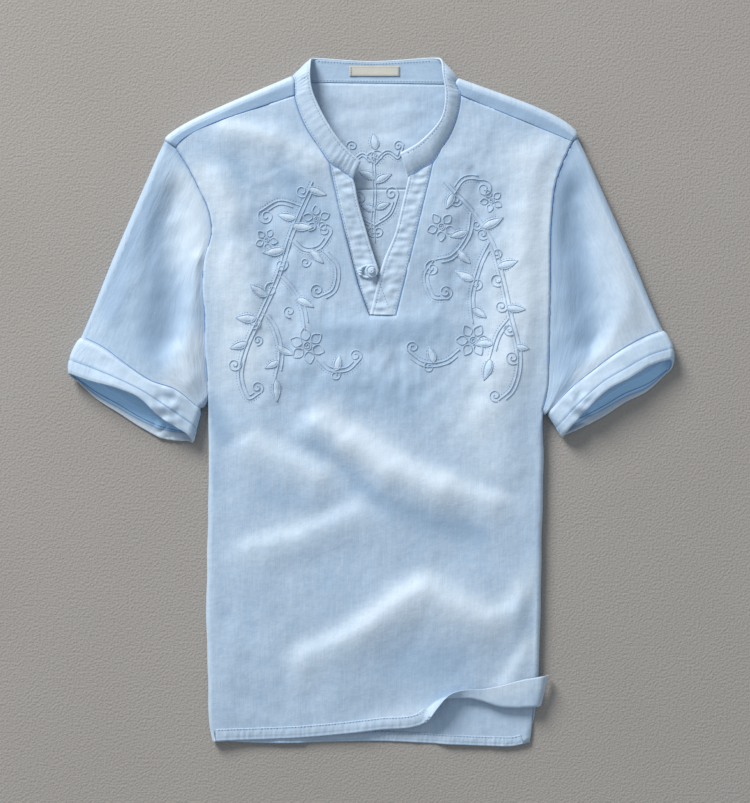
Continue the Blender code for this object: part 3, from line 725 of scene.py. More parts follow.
class Paint:
    """A Principled material under construction."""

    def __init__(self, name: str) -> None:
        """Start a material with an empty Principled shader.

        Args:
            name: The material's name.
        """
        self.material = bpy.data.materials.new(name)
        self.material.use_nodes = True
        self.tree = self.material.node_tree
        self.shader = self.tree.nodes["Principled BSDF"]

    def add(self, kind: str, settings: dict, *values, **named) -> bpy.types.NodeSocket:
        """Add a node.

        Args:
            kind: The node's type.
            settings: Its properties, set before its sockets.
            values: Values or links of its sockets, in order.
            named: Values or links of its sockets, by name with _ for a space.

        Returns:
            The node's first output.
        """
        node = self.tree.nodes.new(kind)
        for key, setting in settings.items():
            setattr(node, key, setting)
        live = [socket for socket in node.inputs if socket.enabled]
        pairs = list(zip(live, values))
        pairs += [(node.inputs[key.replace("_", " ")], value) for key, value in named.items()]
        for socket, value in pairs:
            if isinstance(value, Value):
                value = value.socket
            if isinstance(value, bpy.types.NodeSocket):
                self.tree.links.new(value, socket)
            else:
                socket.default_value = value
        return node_output(node)

    def scaled(self, vector: bpy.types.NodeSocket, by: tuple) -> bpy.types.NodeSocket:
        """Return a vector multiplied by another."""
        return self.add("ShaderNodeVectorMath", {"operation": "MULTIPLY"}, vector, by)

    def noise(self, vector: bpy.types.NodeSocket, by: tuple, detail: float = 2.0) -> Value:
        """Return noise from 0 to 1 on a vector that is scaled first."""
        place = self.scaled(vector, by)
        return Value(self, self.add("ShaderNodeTexNoise", {}, Vector=place, Scale=1.0, Detail=detail))

    def blend(self, factor: Value, low: tuple | bpy.types.NodeSocket, high: tuple) -> bpy.types.NodeSocket:
        """Return a colour between two, by a factor."""
        return self.add("ShaderNodeMix", {"data_type": "RGBA"}, factor, low, high)

    def attribute(self, name: str) -> Value:
        """Return a number stored on the mesh."""
        socket = self.add("ShaderNodeAttribute", {"attribute_name": name})
        return Value(self, socket.node.outputs["Fac"])

    def link(self, socket: str, value: Value | bpy.types.NodeSocket) -> None:
        """Link a value to one of the shader's sockets."""
        source = value.socket if isinstance(value, Value) else value
        self.tree.links.new(source, self.shader.inputs[socket])

    def fixed(self, **values: float) -> None:
        """Set constant sockets of the shader."""
        for key, value in values.items():
            self.shader.inputs[key.replace("_", " ")].default_value = value


@dataclass(frozen=True)
class Linen:
    """Plain-woven linen: uneven threads both ways, slubs, and a dull sheen."""

    name: str
    colour: tuple = (0.352, 0.482, 0.640, 1.0)
    # pale takes the slubs' paler threads and the painted highlights; dim is painted shade, and on the label
    # its frame line; deep is a bright blue painted into the shaded mouths of the cuffs, painted light.
    pale: tuple = (0.545, 0.645, 0.750, 1.0)
    dim: tuple = (0.240, 0.360, 0.520, 1.0)
    deep: tuple = (0.420, 0.700, 1.000, 1.0)
    thread: float = 0.0008
    slub_length: float = 0.026
    cross_length: float = 0.009
    roughness: float = 0.60
    sheen: float = 0.22
    bump: float = 0.0008
    crinkle: float = 0.0125

    def material(self) -> bpy.types.Material:
        """Build the material from the piece's weave UV map and its tone attribute, which carries painted
        highlights and painted shade.

        Returns:
            The material.
        """
        paint = Paint(self.name)
        place = paint.add("ShaderNodeUVMap", {"uv_map": "weave"})
        warp = paint.noise(place, (1.0 / self.thread, 1.0 / self.slub_length, 0.0), 3.0)
        weft = paint.noise(place, (1.0 / self.cross_length, 1.0 / self.thread, 3.0), 3.0)
        broad = paint.noise(place, (1.0 / (3.4 * self.thread), 0.45 / self.slub_length, 9.0), 2.0)
        cloud = paint.noise(place, (14.0, 11.0, 5.0), 3.0)
        crinkle = paint.noise(place, (1.0 / self.crinkle, 1.0 / self.crinkle, 7.0), 5.0)
        mottle = paint.noise(place, (1.0 / 0.0045, 1.0 / 0.0060, 8.0), 3.0)
        grain = (warp - 0.5) * 0.85 + (weft - 0.5) * 0.40 + (broad - 0.5) * 0.35
        grain = grain + (cloud - 0.5) * 0.5 + (crinkle - 0.5) * 0.5 + (mottle - 0.5) * 0.5
        tone = paint.attribute("tone")
        # The tone paints highlights (above 0) and shade (below 0; below -1 the bright painted light of the
        # cuffs' mouths) into the base colour, over the real grain.
        pale = (0.22 + grain + tone * 0.50).clamped()
        colour = paint.blend(pale, self.colour, self.pale)
        colour = paint.blend((tone * -1.0).clamped(), colour, self.dim)
        colour = paint.blend((tone * -1.0 - 1.0).clamped(), colour, self.deep)
        paint.link("Base Color", colour)
        paint.link("Roughness", (self.roughness + grain * 0.10).clamped())
        height = warp * 0.16 + weft * 0.10 + mottle * 0.20 + crinkle
        bump = paint.add("ShaderNodeBump", {}, Strength=0.9, Distance=self.bump, Height=height)
        paint.link("Normal", bump)
        paint.fixed(Sheen_Weight=self.sheen, Sheen_Roughness=0.45, Specular_IOR_Level=0.35)
        return paint.material


@dataclass(frozen=True)
class Thread:
    """Twisted sewing or ornament thread, on Object coordinates."""

    name: str
    colour: tuple = (0.160, 0.290, 0.490, 1.0)
    pale: tuple = (0.290, 0.430, 0.620, 1.0)
    twist: float = 0.0012

    def material(self) -> bpy.types.Material:
        """Build the material: fine diagonal twist and a soft lustre.

        Returns:
            The material.
        """
        paint = Paint(self.name)
        place = paint.add("ShaderNodeTexCoord", {})
        place = place.node.outputs["Object"]
        fine = paint.noise(place, (1.0 / self.twist, 0.6 / self.twist, 1.0 / self.twist), 2.0)
        cloud = paint.noise(place, (40.0, 40.0, 40.0), 2.0)
        mask = (0.5 + (fine - 0.5) * 1.6 + (cloud - 0.5) * 0.8).clamped()
        paint.link("Base Color", paint.blend(mask, self.colour, self.pale))
        paint.link("Roughness", (0.55 + fine * 0.25).clamped())
        bump = paint.add("ShaderNodeBump", {}, Strength=0.7, Distance=0.0003, Height=fine)
        paint.link("Normal", bump)
        paint.fixed(Sheen_Weight=0.15, Specular_IOR_Level=0.3)
        return paint.material


@dataclass(frozen=True)
class Ground:
    """The plain pale floor under the shirt."""

    name: str = "floor_plain"
    colour: tuple = (0.306, 0.286, 0.266, 1.0)
    pale: tuple = (0.346, 0.326, 0.305, 1.0)

    def material(self) -> bpy.types.Material:
        """Build the material: a faintly mottled matt plaster.

        Returns:
            The material.
        """
        paint = Paint(self.name)
        place = paint.add("ShaderNodeTexCoord", {}).node.outputs["Object"]
        broad = paint.noise(place, (6.0, 6.0, 6.0), 4.0)
        fine = paint.noise(place, (400.0, 400.0, 400.0), 3.0)
        mask = (0.5 + (broad - 0.5) * 1.0 + (fine - 0.5) * 2.4).clamped()
        paint.link("Base Color", paint.blend(mask, self.colour, self.pale))
        paint.link("Roughness", (0.85 + fine * 0.1).clamped())
        bump = paint.add("ShaderNodeBump", {}, Strength=0.6, Distance=0.0018, Height=fine)
        paint.link("Normal", bump)
        return paint.material


class Corner(NamedTuple):
    """One corner of a cloth grid: its place, its weave place and its tone."""

    place: Vector
    weave: tuple[float, float]
    # The tone carries painted highlights and painted shade, and the paler doubled hems and the label's frame
    # line.
    tone: float = 0.0


@dataclass
class Cloth:
    """A sheet of cloth made from a grid, shaped by a function of column and row."""

    name: str
    columns: int
    rows: int
    fine_columns: int
    fine_rows: int
    corner: Callable[[float, float], Corner]
    keep: Callable[[float, float], bool] | None = None
    ring: bool = False
    thickness: float = 0.8
    flipped: bool = False

    def build(self, material: bpy.types.Material) -> bpy.types.Object:
        """Build the sheet.

        Args:
            material: The linen that it is made of.

        Returns:
            The finished object, with a Solidify modifier for its thickness.
        """
        mesh = bmesh.new()
        wide, long = self.columns * self.fine_columns, self.rows * self.fine_rows
        bmesh.ops.create_grid(mesh, x_segments=wide, y_segments=long, size=0.5)
        if self.keep is not None:
            dropped = []
            for face in mesh.faces:
                centre = face.calc_center_median()
                if not self.keep((centre.x + 0.5) * self.columns, (centre.y + 0.5) * self.rows):
                    dropped.append(face)
            bmesh.ops.delete(mesh, geom=dropped, context="FACES")
        weave = mesh.loops.layers.uv.new("weave")
        tone = mesh.verts.layers.float.new("tone")
        for vert in mesh.verts:
            column = round((vert.co.x + 0.5) * wide) / self.fine_columns
            row = round((vert.co.y + 0.5) * long) / self.fine_rows
            corner = self.corner(column, row)
            for loop in vert.link_loops:
                loop[weave].uv = (corner.weave[0] * MM, corner.weave[1] * MM)
            vert[tone] = corner.tone
            vert.co = corner.place * MM
        if self.ring:
            bmesh.ops.remove_doubles(mesh, verts=mesh.verts[:], dist=0.01 * MM)
        if self.flipped:
            bmesh.ops.reverse_faces(mesh, faces=mesh.faces[:])
        return finish(self.name, mesh, material, self.thickness)


def finish(
    name: str, mesh: bmesh.types.BMesh, material: bpy.types.Material, thickness: float = 0.0
) -> bpy.types.Object:
    """Turn a bmesh into a smooth object.

    Args:
        name: The object's name.
        mesh: The bmesh, which is freed.
        material: Its material.
        thickness: Cloth thickness in millimetres, added inwards; 0 for none.

    Returns:
        The object, linked to the scene.
    """
    if not thickness:
        bmesh.ops.recalc_face_normals(mesh, faces=mesh.faces[:])
    for face in mesh.faces:
        face.smooth = True
    data = bpy.data.meshes.new(name)
    mesh.to_mesh(data)
    mesh.free()
    data.materials.append(material)
    thing = bpy.data.objects.new(name, data)
    bpy.context.scene.collection.objects.link(thing)
    if thickness:
        wall = thing.modifiers.new("wall", "SOLIDIFY")
        wall.thickness = thickness * MM
        wall.offset = -1.0
        wall.use_even_offset = False
    return thing


def carry(piece: bpy.types.Object, slot: str, *nodes: str) -> None:
    """Put a piece on the body, in place of its nodes.

    Args:
        piece: The finished piece.
        slot: Name of its material slot; not used.
        nodes: Nodes that it takes the place of.
    """
    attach(piece, BODY)
    for node in nodes:
        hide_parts(node)
    LOG.info("built %s", piece.name)


class Panel:
    """A sewn sheet: its subclass gives the grid, the corners and the names."""

    slot = "linen"

    def cloth(self) -> Cloth:
        """Return the sheet's grid."""
        raise NotImplementedError

    def node_name(self) -> str:
        """Return the node that the sheet stands for."""
        raise NotImplementedError

    def build(self, material: bpy.types.Material) -> bpy.types.Object:
        """Build the sheet and put it in place of its node.

        Args:
            material: Its cloth.

        Returns:
            The finished piece.
        """
        piece = self.cloth().build(material)
        carry(piece, self.slot, self.node_name())
        return piece


def roll_point(centre: Vector, outward: Vector, roll: float, angle: float) -> Vector:
    """Return a point of cloth rolled round a centre line, at an angle from level.

    Args:
        centre: Plan point of the roll's middle line.
        outward: Plan way from the middle line to the cloth's edge.
        roll: The roll's radius in millimetres.
        angle: Angle in radians, 0 being level outwards.

    Returns:
        The point in space, in millimetres.
    """
    lean = math.cos(angle) * roll
    flat = centre + outward * lean
    return Vector((flat.x, flat.y, roll + math.sin(angle) * roll))


def hem_tone(inside: float, depth: float) -> float:
    """Return the tone of a doubled hem at a distance from its edge."""
    return 0.35 * ease((depth - inside) / 1.5 + 0.5)


@dataclass
class FrontPanel(Panel):
    """The front: tucked sides, cut opening, hem and turned-up corner."""

    form: Body
    under: int = 1
    bend: int = 4
    half: int = 9
    notch: int = 2
    strip: int = 4
    body: int = 15
    hem_fold: float = 1.8
    corner_length: float = 38.0
    corner_turn: float = 167.0
    corner_hidden: float = 30.0
    corner_taper: float = 7.0
    hem_depth: float = 13.0
    hem_drift: float = 3.0
    hem_follow: float = 0.8
    flat_turn: float = 5.0
    pit_start: float = 0.86
    pit_run: float = 0.14
    seam_foot: float = 80.0
    hem_y: float = 356.0
    hem_slope: float = 0.06
    side_ripple: Ripple = Ripple(0.30, 1.9, Crumple(2.0, 14.0, 5.0), 5.0)
    hem_ripple: Ripple = Ripple(0.35, 1.4, Crumple(3.0, 16.0, 2.0), 8.0)
    # Painted highlight on the rolled side edges.
    side_highlight: float = 0.7
    bend_weave: float = 5.0
    under_weave: float = 76.0
    hems: tuple = (
        Hem(-176, -352, 14, 0),
        Hem(-76, -348, 14.3, 0),
        Hem(10, -340, 13.7, 0),
        Hem(53.5, -334, 14.3, 0),
        Hem(72, -321, 15, 70),
        Hem(88, -316.5, 13, 130),
        Hem(104, -316.4, 13, 168),
        Hem(118.3, -319.4, 16, 176),
        Hem(140, -325.9, 26.4, 178),
        Hem(159, -326.9, 32.7, 178),
        Hem(176, -325.9, 35.2, 176),
    )
    first_top: int = field(init=False)
    opening_left: int = field(init=False)
    opening_right: int = field(init=False)
    last_top: int = field(init=False)
    armpit_row: int = field(init=False)

    def __post_init__(self) -> None:
        """Work out the grid's columns and rows."""
        self.first_top = self.under + self.bend
        self.opening_left = self.first_top + self.half
        self.opening_right = self.opening_left + self.notch
        self.last_top = self.opening_right + self.half
        self.armpit_row = self.strip + self.body

    def keep(self, column: float, row: float) -> bool:
        """Return whether the cell is cloth.

        Args:
            column: Column of the grid, whole or between two.
            row: Row of the grid, whole or between two.

        Returns:
            True where there is cloth.
        """
        if row > self.armpit_row and not self.first_top < column < self.last_top:
            return False
        if row > self.armpit_row + self.form.apex and self.opening_left < column < self.opening_right:
            return False
        slit = self.last_top + self.bend // 2
        return not (row < self.strip and slit < column < slit + 1)

    def across(self, column: float, left: float, right: float) -> float:
        """Return x of a top column between the ends of its row.

        Args:
            column: Column of the grid, whole or between two.
            left: x of the row's left end.
            right: x of the row's right end.

        Returns:
            The x in millimetres.
        """
        inner_left, inner_right = self.form.chest[0].inner_left_x, self.form.chest[0].inner_right_x
        if column <= self.opening_left:
            return mix(left, inner_left, (column - self.first_top) / self.half)
        if column <= self.opening_right:
            return mix(inner_left, inner_right, (column - self.opening_left) / self.notch)
        return mix(inner_right, right, (column - self.opening_right) / self.half)

    def puckers(self, x: float, y: float) -> float:
        """Return the ripples along the seams and the opening bands at a place.

        Args:
            x: Place across, in millimetres.
            y: Place along, in millimetres.

        Returns:
            The height in millimetres.
        """
        height = 0.0
        level = self.form.side(y)
        if y > self.seam_foot:
            inside = min(x - level.left, level.right - x)
            height += self.side_ripple.at(y, x, y, abs(inside))
        near = abs(y + self.hem_y - self.hem_slope * (x + 100.0))
        return height + self.hem_ripple.at(x, x, y, near)

    def chest(self, column: float, level: float) -> Vector:
        """Return a corner above the armpits.

        Args:
            column: Column of the grid, whole or between two.
            level: Seam level above the armpits.

        Returns:
            The point in millimetres.
        """
        if column <= self.opening_left:
            hand, share = Hand.LEFT, (column - self.first_top) / self.half
        elif column >= self.opening_right:
            hand, share = Hand.RIGHT, 1.0 - (column - self.opening_right) / self.half
        else:
            share = (column - self.opening_left) / self.notch
            point = self.form.opening(Hand.LEFT, level).lerp(self.form.opening(Hand.RIGHT, level), share)
            return self.raised(point)
        point = self.form.arm(hand, level).lerp(self.form.opening(hand, level), share)
        rise = ease((level - self.form.apex) / (self.form.top_row - self.form.apex))
        index = hand.index
        point.y += self.form.yoke_seam_bow[index] * math.sin(math.pi * math.sqrt(clamp(share))) * rise
        return self.raised(point)

    def raised(self, point: Vector) -> Vector:
        """Return a plan point put on the front's upper face."""
        height = self.form.top(point.x, point.y) + self.puckers(point.x, point.y)
        return Vector((point.x, point.y, height))

    def side_centre(self, y: float, share: float, hand: Hand) -> tuple[Vector, Vector, float]:
        """Return the centre, outward way and radius of a side's roll.

        Args:
            y: Place along, in millimetres.
            share: Share of the way, from 0 to 1.
            hand: Side of the picture.

        Returns:
            The centre and the way in plan, and the radius.
        """
        level = self.form.side(y)
        rotate = 0.5 * math.pi * ease((share - self.pit_start) / self.pit_run)
        outward = Vector((hand.value * math.cos(rotate), -math.sin(rotate)))
        x = level.left if hand is Hand.LEFT else level.right
        pit = self.form.armpits[hand.index]
        edge = Vector((mix(x, pit[0], ease((share - self.pit_start) / self.pit_run)), y))
        return edge - outward * level.roll, outward, level.roll

    def body_corner(self, column: float, share: float) -> Vector:
        """Return a corner between the hem strip and the armpits.

        Args:
            column: Column of the grid, whole or between two.
            share: Share of the way, from 0 to 1.

        Returns:
            The point in millimetres.
        """
        ends = {}
        for hand in Hand:
            start = smooth(self.hems, 180.0 * hand.value).start
            y = mix(start, self.form.armpits[hand.index][1], share)
            ends[hand] = (*self.side_centre(y, share, hand), y)
        if column < self.first_top or column > self.last_top:
            hand = Hand.LEFT if column < self.first_top else Hand.RIGHT
            centre, outward, roll, y = ends[hand]
            steps = self.first_top - column if hand is Hand.LEFT else column - self.last_top
            if steps <= self.bend:
                angle = 0.5 * math.pi - math.pi * steps / self.bend
                return roll_point(centre, outward, roll, angle)
            width = self.form.tuck(y, hand).width * (steps - self.bend) / self.under
            return Vector((centre.x - hand.value * width, centre.y, 0.0))
        left, right = ends[Hand.LEFT][0], ends[Hand.RIGHT][0]
        wide = (column - self.first_top) / (self.last_top - self.first_top)
        x = self.across(column, left.x, right.x)
        y = mix(smooth(self.hems, x).start, self.form.armpit_line(wide), share)
        y = mix(left.y, y, ease(column - self.first_top))
        y = mix(right.y, y, ease(self.last_top - column))
        return self.raised(Vector((x, y)))

    def strip_corner(self, column: float, share: float) -> Vector:
        """Return a corner of the hem strip, share 1 being the hem itself.

        Args:
            column: Column of the grid, whole or between two.
            share: Share of the way, from 0 to 1.

        Returns:
            The point in millimetres.
        """
        base = self.body_corner(column, 0.0)
        hem = smooth(self.hems, base.x)
        length, turn = hem.length, hem.turn
        outward = Vector((0.0, 0.0, 1.0))
        steps = column - self.last_top
        if column < self.first_top or steps > 0:
            around = (self.first_top - column if column < self.first_top else steps) / self.bend
            angle = 0.5 * math.pi - math.pi * min(around, 1.0)
            sign = -1.0 if column < self.first_top else 1.0
            outward = Vector((sign * math.cos(angle), 0.0, math.sin(angle)))
        if 0 < steps <= self.bend / 2:
            length = mix(hem.length, self.corner_length, ease(steps))
            turn = mix(hem.turn, self.corner_turn, ease(steps))
        elif steps > self.bend / 2:
            length, turn = self.corner_hidden, 0.0
            base.x -= self.corner_taper * share * share
        run = length * share
        bent = min(run, self.hem_fold * math.radians(turn))
        angle = bent / self.hem_fold
        straight = run - bent
        back = -self.hem_fold * math.sin(angle) - straight * math.cos(angle)
        rise = self.hem_fold * (1.0 - math.cos(angle)) + straight * math.sin(angle)
        corner = base + Vector((0.0, back, 0.0)) + outward * rise
        if column < self.first_top:
            corner.x += self.hem_drift * share
        if turn < self.flat_turn and self.first_top <= column <= self.last_top:
            fresh = self.raised(Vector((corner.x, corner.y)))
            corner.z = mix(corner.z, fresh.z, self.hem_follow)
        return corner

    def corner(self, column: float, row: float) -> Corner:
        """Return a corner of the whole panel.

        Args:
            column: Column of the grid, whole or between two.
            row: Row of the grid, whole or between two.

        Returns:
            Its place, weave place and tone.
        """
        tone = 0.0
        if row < self.strip:
            share = 1.0 - row / self.strip
            place = self.strip_corner(column, share)
            base = self.body_corner(column, 0.0)
            length = smooth(self.hems, base.x).length
            weave_y = base.y - length * share
            tone = hem_tone(length * (1.0 - share), self.hem_depth)
        elif row > self.armpit_row or (row == self.armpit_row and self.first_top <= column <= self.last_top):
            place = self.chest(column, row - self.armpit_row)
            weave_y = place.y
        else:
            place = self.body_corner(column, (row - self.strip) / self.body)
            weave_y = place.y
        steps = max(self.first_top - column, column - self.last_top)
        # Painted highlight on the rolled side edges.
        tone += self.side_highlight * ease((steps - 0.3) / 1.2)
        # Painted highlights and painted shade of the folds, on the upper face.
        if steps < 1.0:
            tone += relief(self.form.painted_light, place.x, place.y)
        weave_x = place.x
        if column < self.first_top or column > self.last_top:
            edge = self.body_corner(self.first_top if column < self.first_top else self.last_top, 0.5)
            away = self.first_top - column if column < self.first_top else column - self.last_top
            sign = -1.0 if column < self.first_top else 1.0
            run = self.bend_weave * min(away, self.bend) + self.under_weave * max(away - self.bend, 0.0)
            weave_x = edge.x + sign * run
        return Corner(place, (weave_x, weave_y), tone)

    def cloth(self) -> Cloth:
        """Return the sheet's grid.

        Returns:
            The grid, ready to build.
        """
        rows = self.armpit_row + self.form.top_row
        columns = self.last_top + self.bend + self.under
        return Cloth(
            "front_linen", columns, rows, fine_columns=6, fine_rows=6, corner=self.corner, keep=self.keep
        )

    def node_name(self) -> str:
        """Return the node that the sheet stands for."""
        return "front_panel"


@dataclass
class BackPanel(Panel):
    """The back below the yoke, folded under inside the front."""

    form: Body
    under: int = 1
    bend: int = 4
    main: int = 10
    rows: int = 8
    inset: float = 6.7
    hem_depth: float = 11.0
    hem_level: float = -367.0
    floor_gap: float = 0.9
    top_broad: Crumple = Crumple(1.0, 34.0, 21.0)
    top_fine: Crumple = Crumple(1.0, 10.0, 25.0)
    # The back above the armpits, seen inside the neck opening, is painted paler.
    top_tone: float = 0.4
    low_broad: Crumple = Crumple(0.4, 34.0, 23.0)
    hem_wave: Crumple = Crumple(0.9, 15.0, 27.0)
    hem_warp: Crumple = Crumple(3.0, 18.0, 31.0)
    hem_ripple: float = 0.25
    hem_pitch: float = 1.7
    hem_reach: float = 30.0
    bend_weave: float = 4.0
    under_weave: float = 73.0
    edge_room: float = 3.0
    hems: tuple = (
        Place(-176, -365),
        Place(-100, -368.5),
        Place(0, -366.5),
        Place(86, -370),
        Place(150, -372),
        Place(176, -366),
    )

    def keep(self, column: float, row: float) -> bool:
        """Return whether the cell is cloth."""
        first = self.under + self.bend
        return row < self.rows - 1 or first < column < first + self.main

    def corner(self, column: float, row: float) -> Corner:
        """Return a corner of the panel.

        Args:
            column: Column of the grid, whole or between two.
            row: Row of the grid, whole or between two.

        Returns:
            Its place, weave place and tone.
        """
        form = self.form
        first = self.under + self.bend
        last = first + self.main
        across = clamp((column - first) / self.main)
        if row > self.rows:
            level = row - self.rows
            point = form.arm(Hand.LEFT, level).lerp(form.arm(Hand.RIGHT, level), across)
            height = form.back_low(point.x, point.y) + form.wall + self.top_broad.at(*point)
            height += self.top_fine.at(*point)
            place = Vector((point.x, point.y, max(height, self.floor_gap)))
            return Corner(place, (point.x, point.y), self.top_tone)
        share = row / self.rows
        hand = Hand.LEFT if across < 0.5 else Hand.RIGHT
        level = form.side(mix(self.hem_level, form.armpit_line(across), share))
        x = mix(level.left + self.inset, level.right - self.inset, across)
        hem = smooth(self.hems, x).y
        y = mix(hem, form.armpit_line(across), share)
        low = form.back_low(x, y)
        tone = hem_tone(y - hem, self.hem_depth)
        if first <= column <= last:
            height = low + form.wall + self.low_broad.at(x, y)
            if y - hem < self.hem_reach:
                ripple = self.hem_ripple * math.sin(x / self.hem_pitch + self.hem_warp.at(x, y))
                height += (self.hem_wave.at(x, y) + ripple) * ease(1.0 - (y - hem) / self.hem_reach)
            return Corner(Vector((x, y, max(height, self.floor_gap))), (x, y), tone)
        tuck = form.tuck(y, hand)
        fold = form.wall + 0.5 * form.gap
        steps = first - column if hand is Hand.LEFT else column - last
        run = self.bend_weave * min(steps, self.bend) / self.bend
        run += self.under_weave * max(steps - self.bend, 0.0)
        weave_x = x + hand.value * run
        if steps <= self.bend:
            angle = 0.5 * math.pi - math.pi * steps / self.bend
            middle = tuck.lift + form.wall - fold
            place = Vector((x + hand.value * math.cos(angle) * fold, y, middle + math.sin(angle) * fold))
            return Corner(place, (weave_x, y), tone)
        width = (tuck.width - self.edge_room) * (steps - self.bend) / self.under
        place = Vector((x - hand.value * width, y, tuck.lift + form.wall - 2.0 * fold))
        return Corner(place, (weave_x, y), tone)

    def cloth(self) -> Cloth:
        """Return the sheet's grid.

        Returns:
            The grid, ready to build.
        """
        columns = 2 * (self.under + self.bend) + self.main
        rows = self.rows + self.form.yoke_row
        return Cloth(
            "back_linen", columns, rows, fine_columns=6, fine_rows=8, corner=self.corner, keep=self.keep
        )

    def node_name(self) -> str:
        """Return the node that the sheet stands for."""
        return "back_panel"


@dataclass
class Yoke(Panel):
    """The yoke: flat back, rolled shoulders, and the strips in front."""

    form: Body
    half: int = 9
    neck: int = 4
    bend: int = 4
    strip: int = 2
    neck_low: tuple = (-72.0, 78.0)
    # The inside of the back, seen through the neck, is painted paler; the front strips get painted shade,
    # darker at the left; the shoulder roll gets a painted highlight.
    inside_tone: float = 0.6
    inside_middle: float = 6.0
    inside_half: float = 62.0
    seam_shades: tuple = (-0.95, -0.5)
    roll_highlight: float = 0.85
    strip_wave: Crumple = Crumple(1.2, 30.0, 41.0)
    neck_broad: Crumple = Crumple(1.5, 26.0, 43.0)
    neck_fine: Crumple = Crumple(1.0, 11.0, 45.0)
    neck_rise: float = 0.9
    roll_rise: float = 1.1
    strip_weave: float = 22.0

    @property
    def last(self) -> int:
        """Return the last column, at the right armhole."""
        return 2 * self.half + self.neck

    @property
    def back_rows(self) -> int:
        """Return how many rows lie on the back."""
        return self.form.top_row - self.form.yoke_row + 1

    def keep(self, column: float, row: float) -> bool:
        """Return whether the cell is cloth."""
        return row < self.back_rows or not self.half < column < self.half + self.neck

    def side_place(self, hand: Hand, share: float, row: float) -> Vector:
        """Return a corner of one shoulder, share 0 being the armhole.

        Args:
            hand: Side of the picture.
            share: Share of the way, from 0 to 1.
            row: Row of the grid, whole or between two.

        Returns:
            The point in millimetres.
        """
        form = self.form
        centre, outward = form.shoulder(hand, share)
        if row <= self.back_rows:
            level = form.yoke_row + row
            arm = form.arm(hand, min(level, form.top_row))
            tip = form.shoulder(hand, 0.0)[0]
            arm = arm.lerp(tip, clamp(level - form.top_row))
            base = 0.5 * (form.arm(Hand.LEFT, form.yoke_row).y + form.arm(Hand.RIGHT, form.yoke_row).y)
            low = Vector((self.neck_low[hand.index], base))
            inner = low.lerp(form.shoulder(hand, 1.0)[0], row / self.back_rows)
            point = arm.lerp(inner, share)
            bow = centre - tip.lerp(form.shoulder(hand, 1.0)[0], share)
            point += bow * ease(level - form.top_row + 1.0)
            return Vector((point.x, point.y, 0.0))
        if row <= self.back_rows + self.bend:
            angle = math.pi * (row - self.back_rows) / self.bend - 0.5 * math.pi
            return roll_point(centre, outward, form.shoulder_roll, angle)
        down = (row - self.back_rows - self.bend) / self.strip
        seam = form.yoke_seam(hand, share)
        point = centre.lerp(seam, down)
        height = mix(2.0 * form.shoulder_roll, form.top(seam.x, seam.y), down)
        height += self.strip_wave.at(point.x, point.y) * math.sin(math.pi * down * 0.5) + form.gap
        return Vector((point.x, point.y, height))

    def corner(self, column: float, row: float) -> Corner:
        """Return a corner of the whole yoke.

        Args:
            column: Column of the grid, whole or between two.
            row: Row of the grid, whole or between two.

        Returns:
            Its place, weave place and tone.
        """
        if column <= self.half:
            place = self.side_place(Hand.LEFT, column / self.half, row)
        elif column >= self.half + self.neck:
            place = self.side_place(Hand.RIGHT, (self.last - column) / self.half, row)
        else:
            left = self.side_place(Hand.LEFT, 1.0, row)
            right = self.side_place(Hand.RIGHT, 1.0, row)
            place = left.lerp(right, (column - self.half) / self.neck)
            waves = self.neck_broad.at(place.x, place.y) + self.neck_fine.at(place.x, place.y)
            rolled = self.roll_rise * ease((row - 4.6) / 1.2) * (row <= self.back_rows)
            place.z += ease(3.0 - abs(row - 3.0)) * (self.neck_rise + waves) + rolled
        over = clamp((row - self.back_rows) / self.bend)
        # Painted highlight on the shoulder roll, turning into painted shade on the front strips.
        seam_shade = mix(*self.seam_shades, column / self.last)
        front = ease((row - self.back_rows - 3.0) / 1.8)
        tone = mix(self.roll_highlight, seam_shade, front) * ease(row - self.back_rows)
        # The inside of the back, seen through the neck, is painted paler.
        if row < self.back_rows:
            tone += self.inside_tone * ease(1.0 - abs(place.x - self.inside_middle) / self.inside_half)
        turned = 2.0 * max(self.form.shoulder(Hand.LEFT, 0.5)[0].y - place.y, 0.0) * (over > 0.5)
        weave_y = place.y + self.strip_weave * over + turned
        return Corner(place, (place.x, weave_y), tone)

    def cloth(self) -> Cloth:
        """Return the sheet's grid.

        Returns:
            The grid, ready to build.
        """
        rows = self.back_rows + self.bend + self.strip
        return Cloth(
            "yoke_linen", self.last, rows, fine_columns=6, fine_rows=6, corner=self.corner, keep=self.keep,
            flipped=True,
        )

    def node_name(self) -> str:
        """Return the node that the sheet stands for."""
        return "yoke"


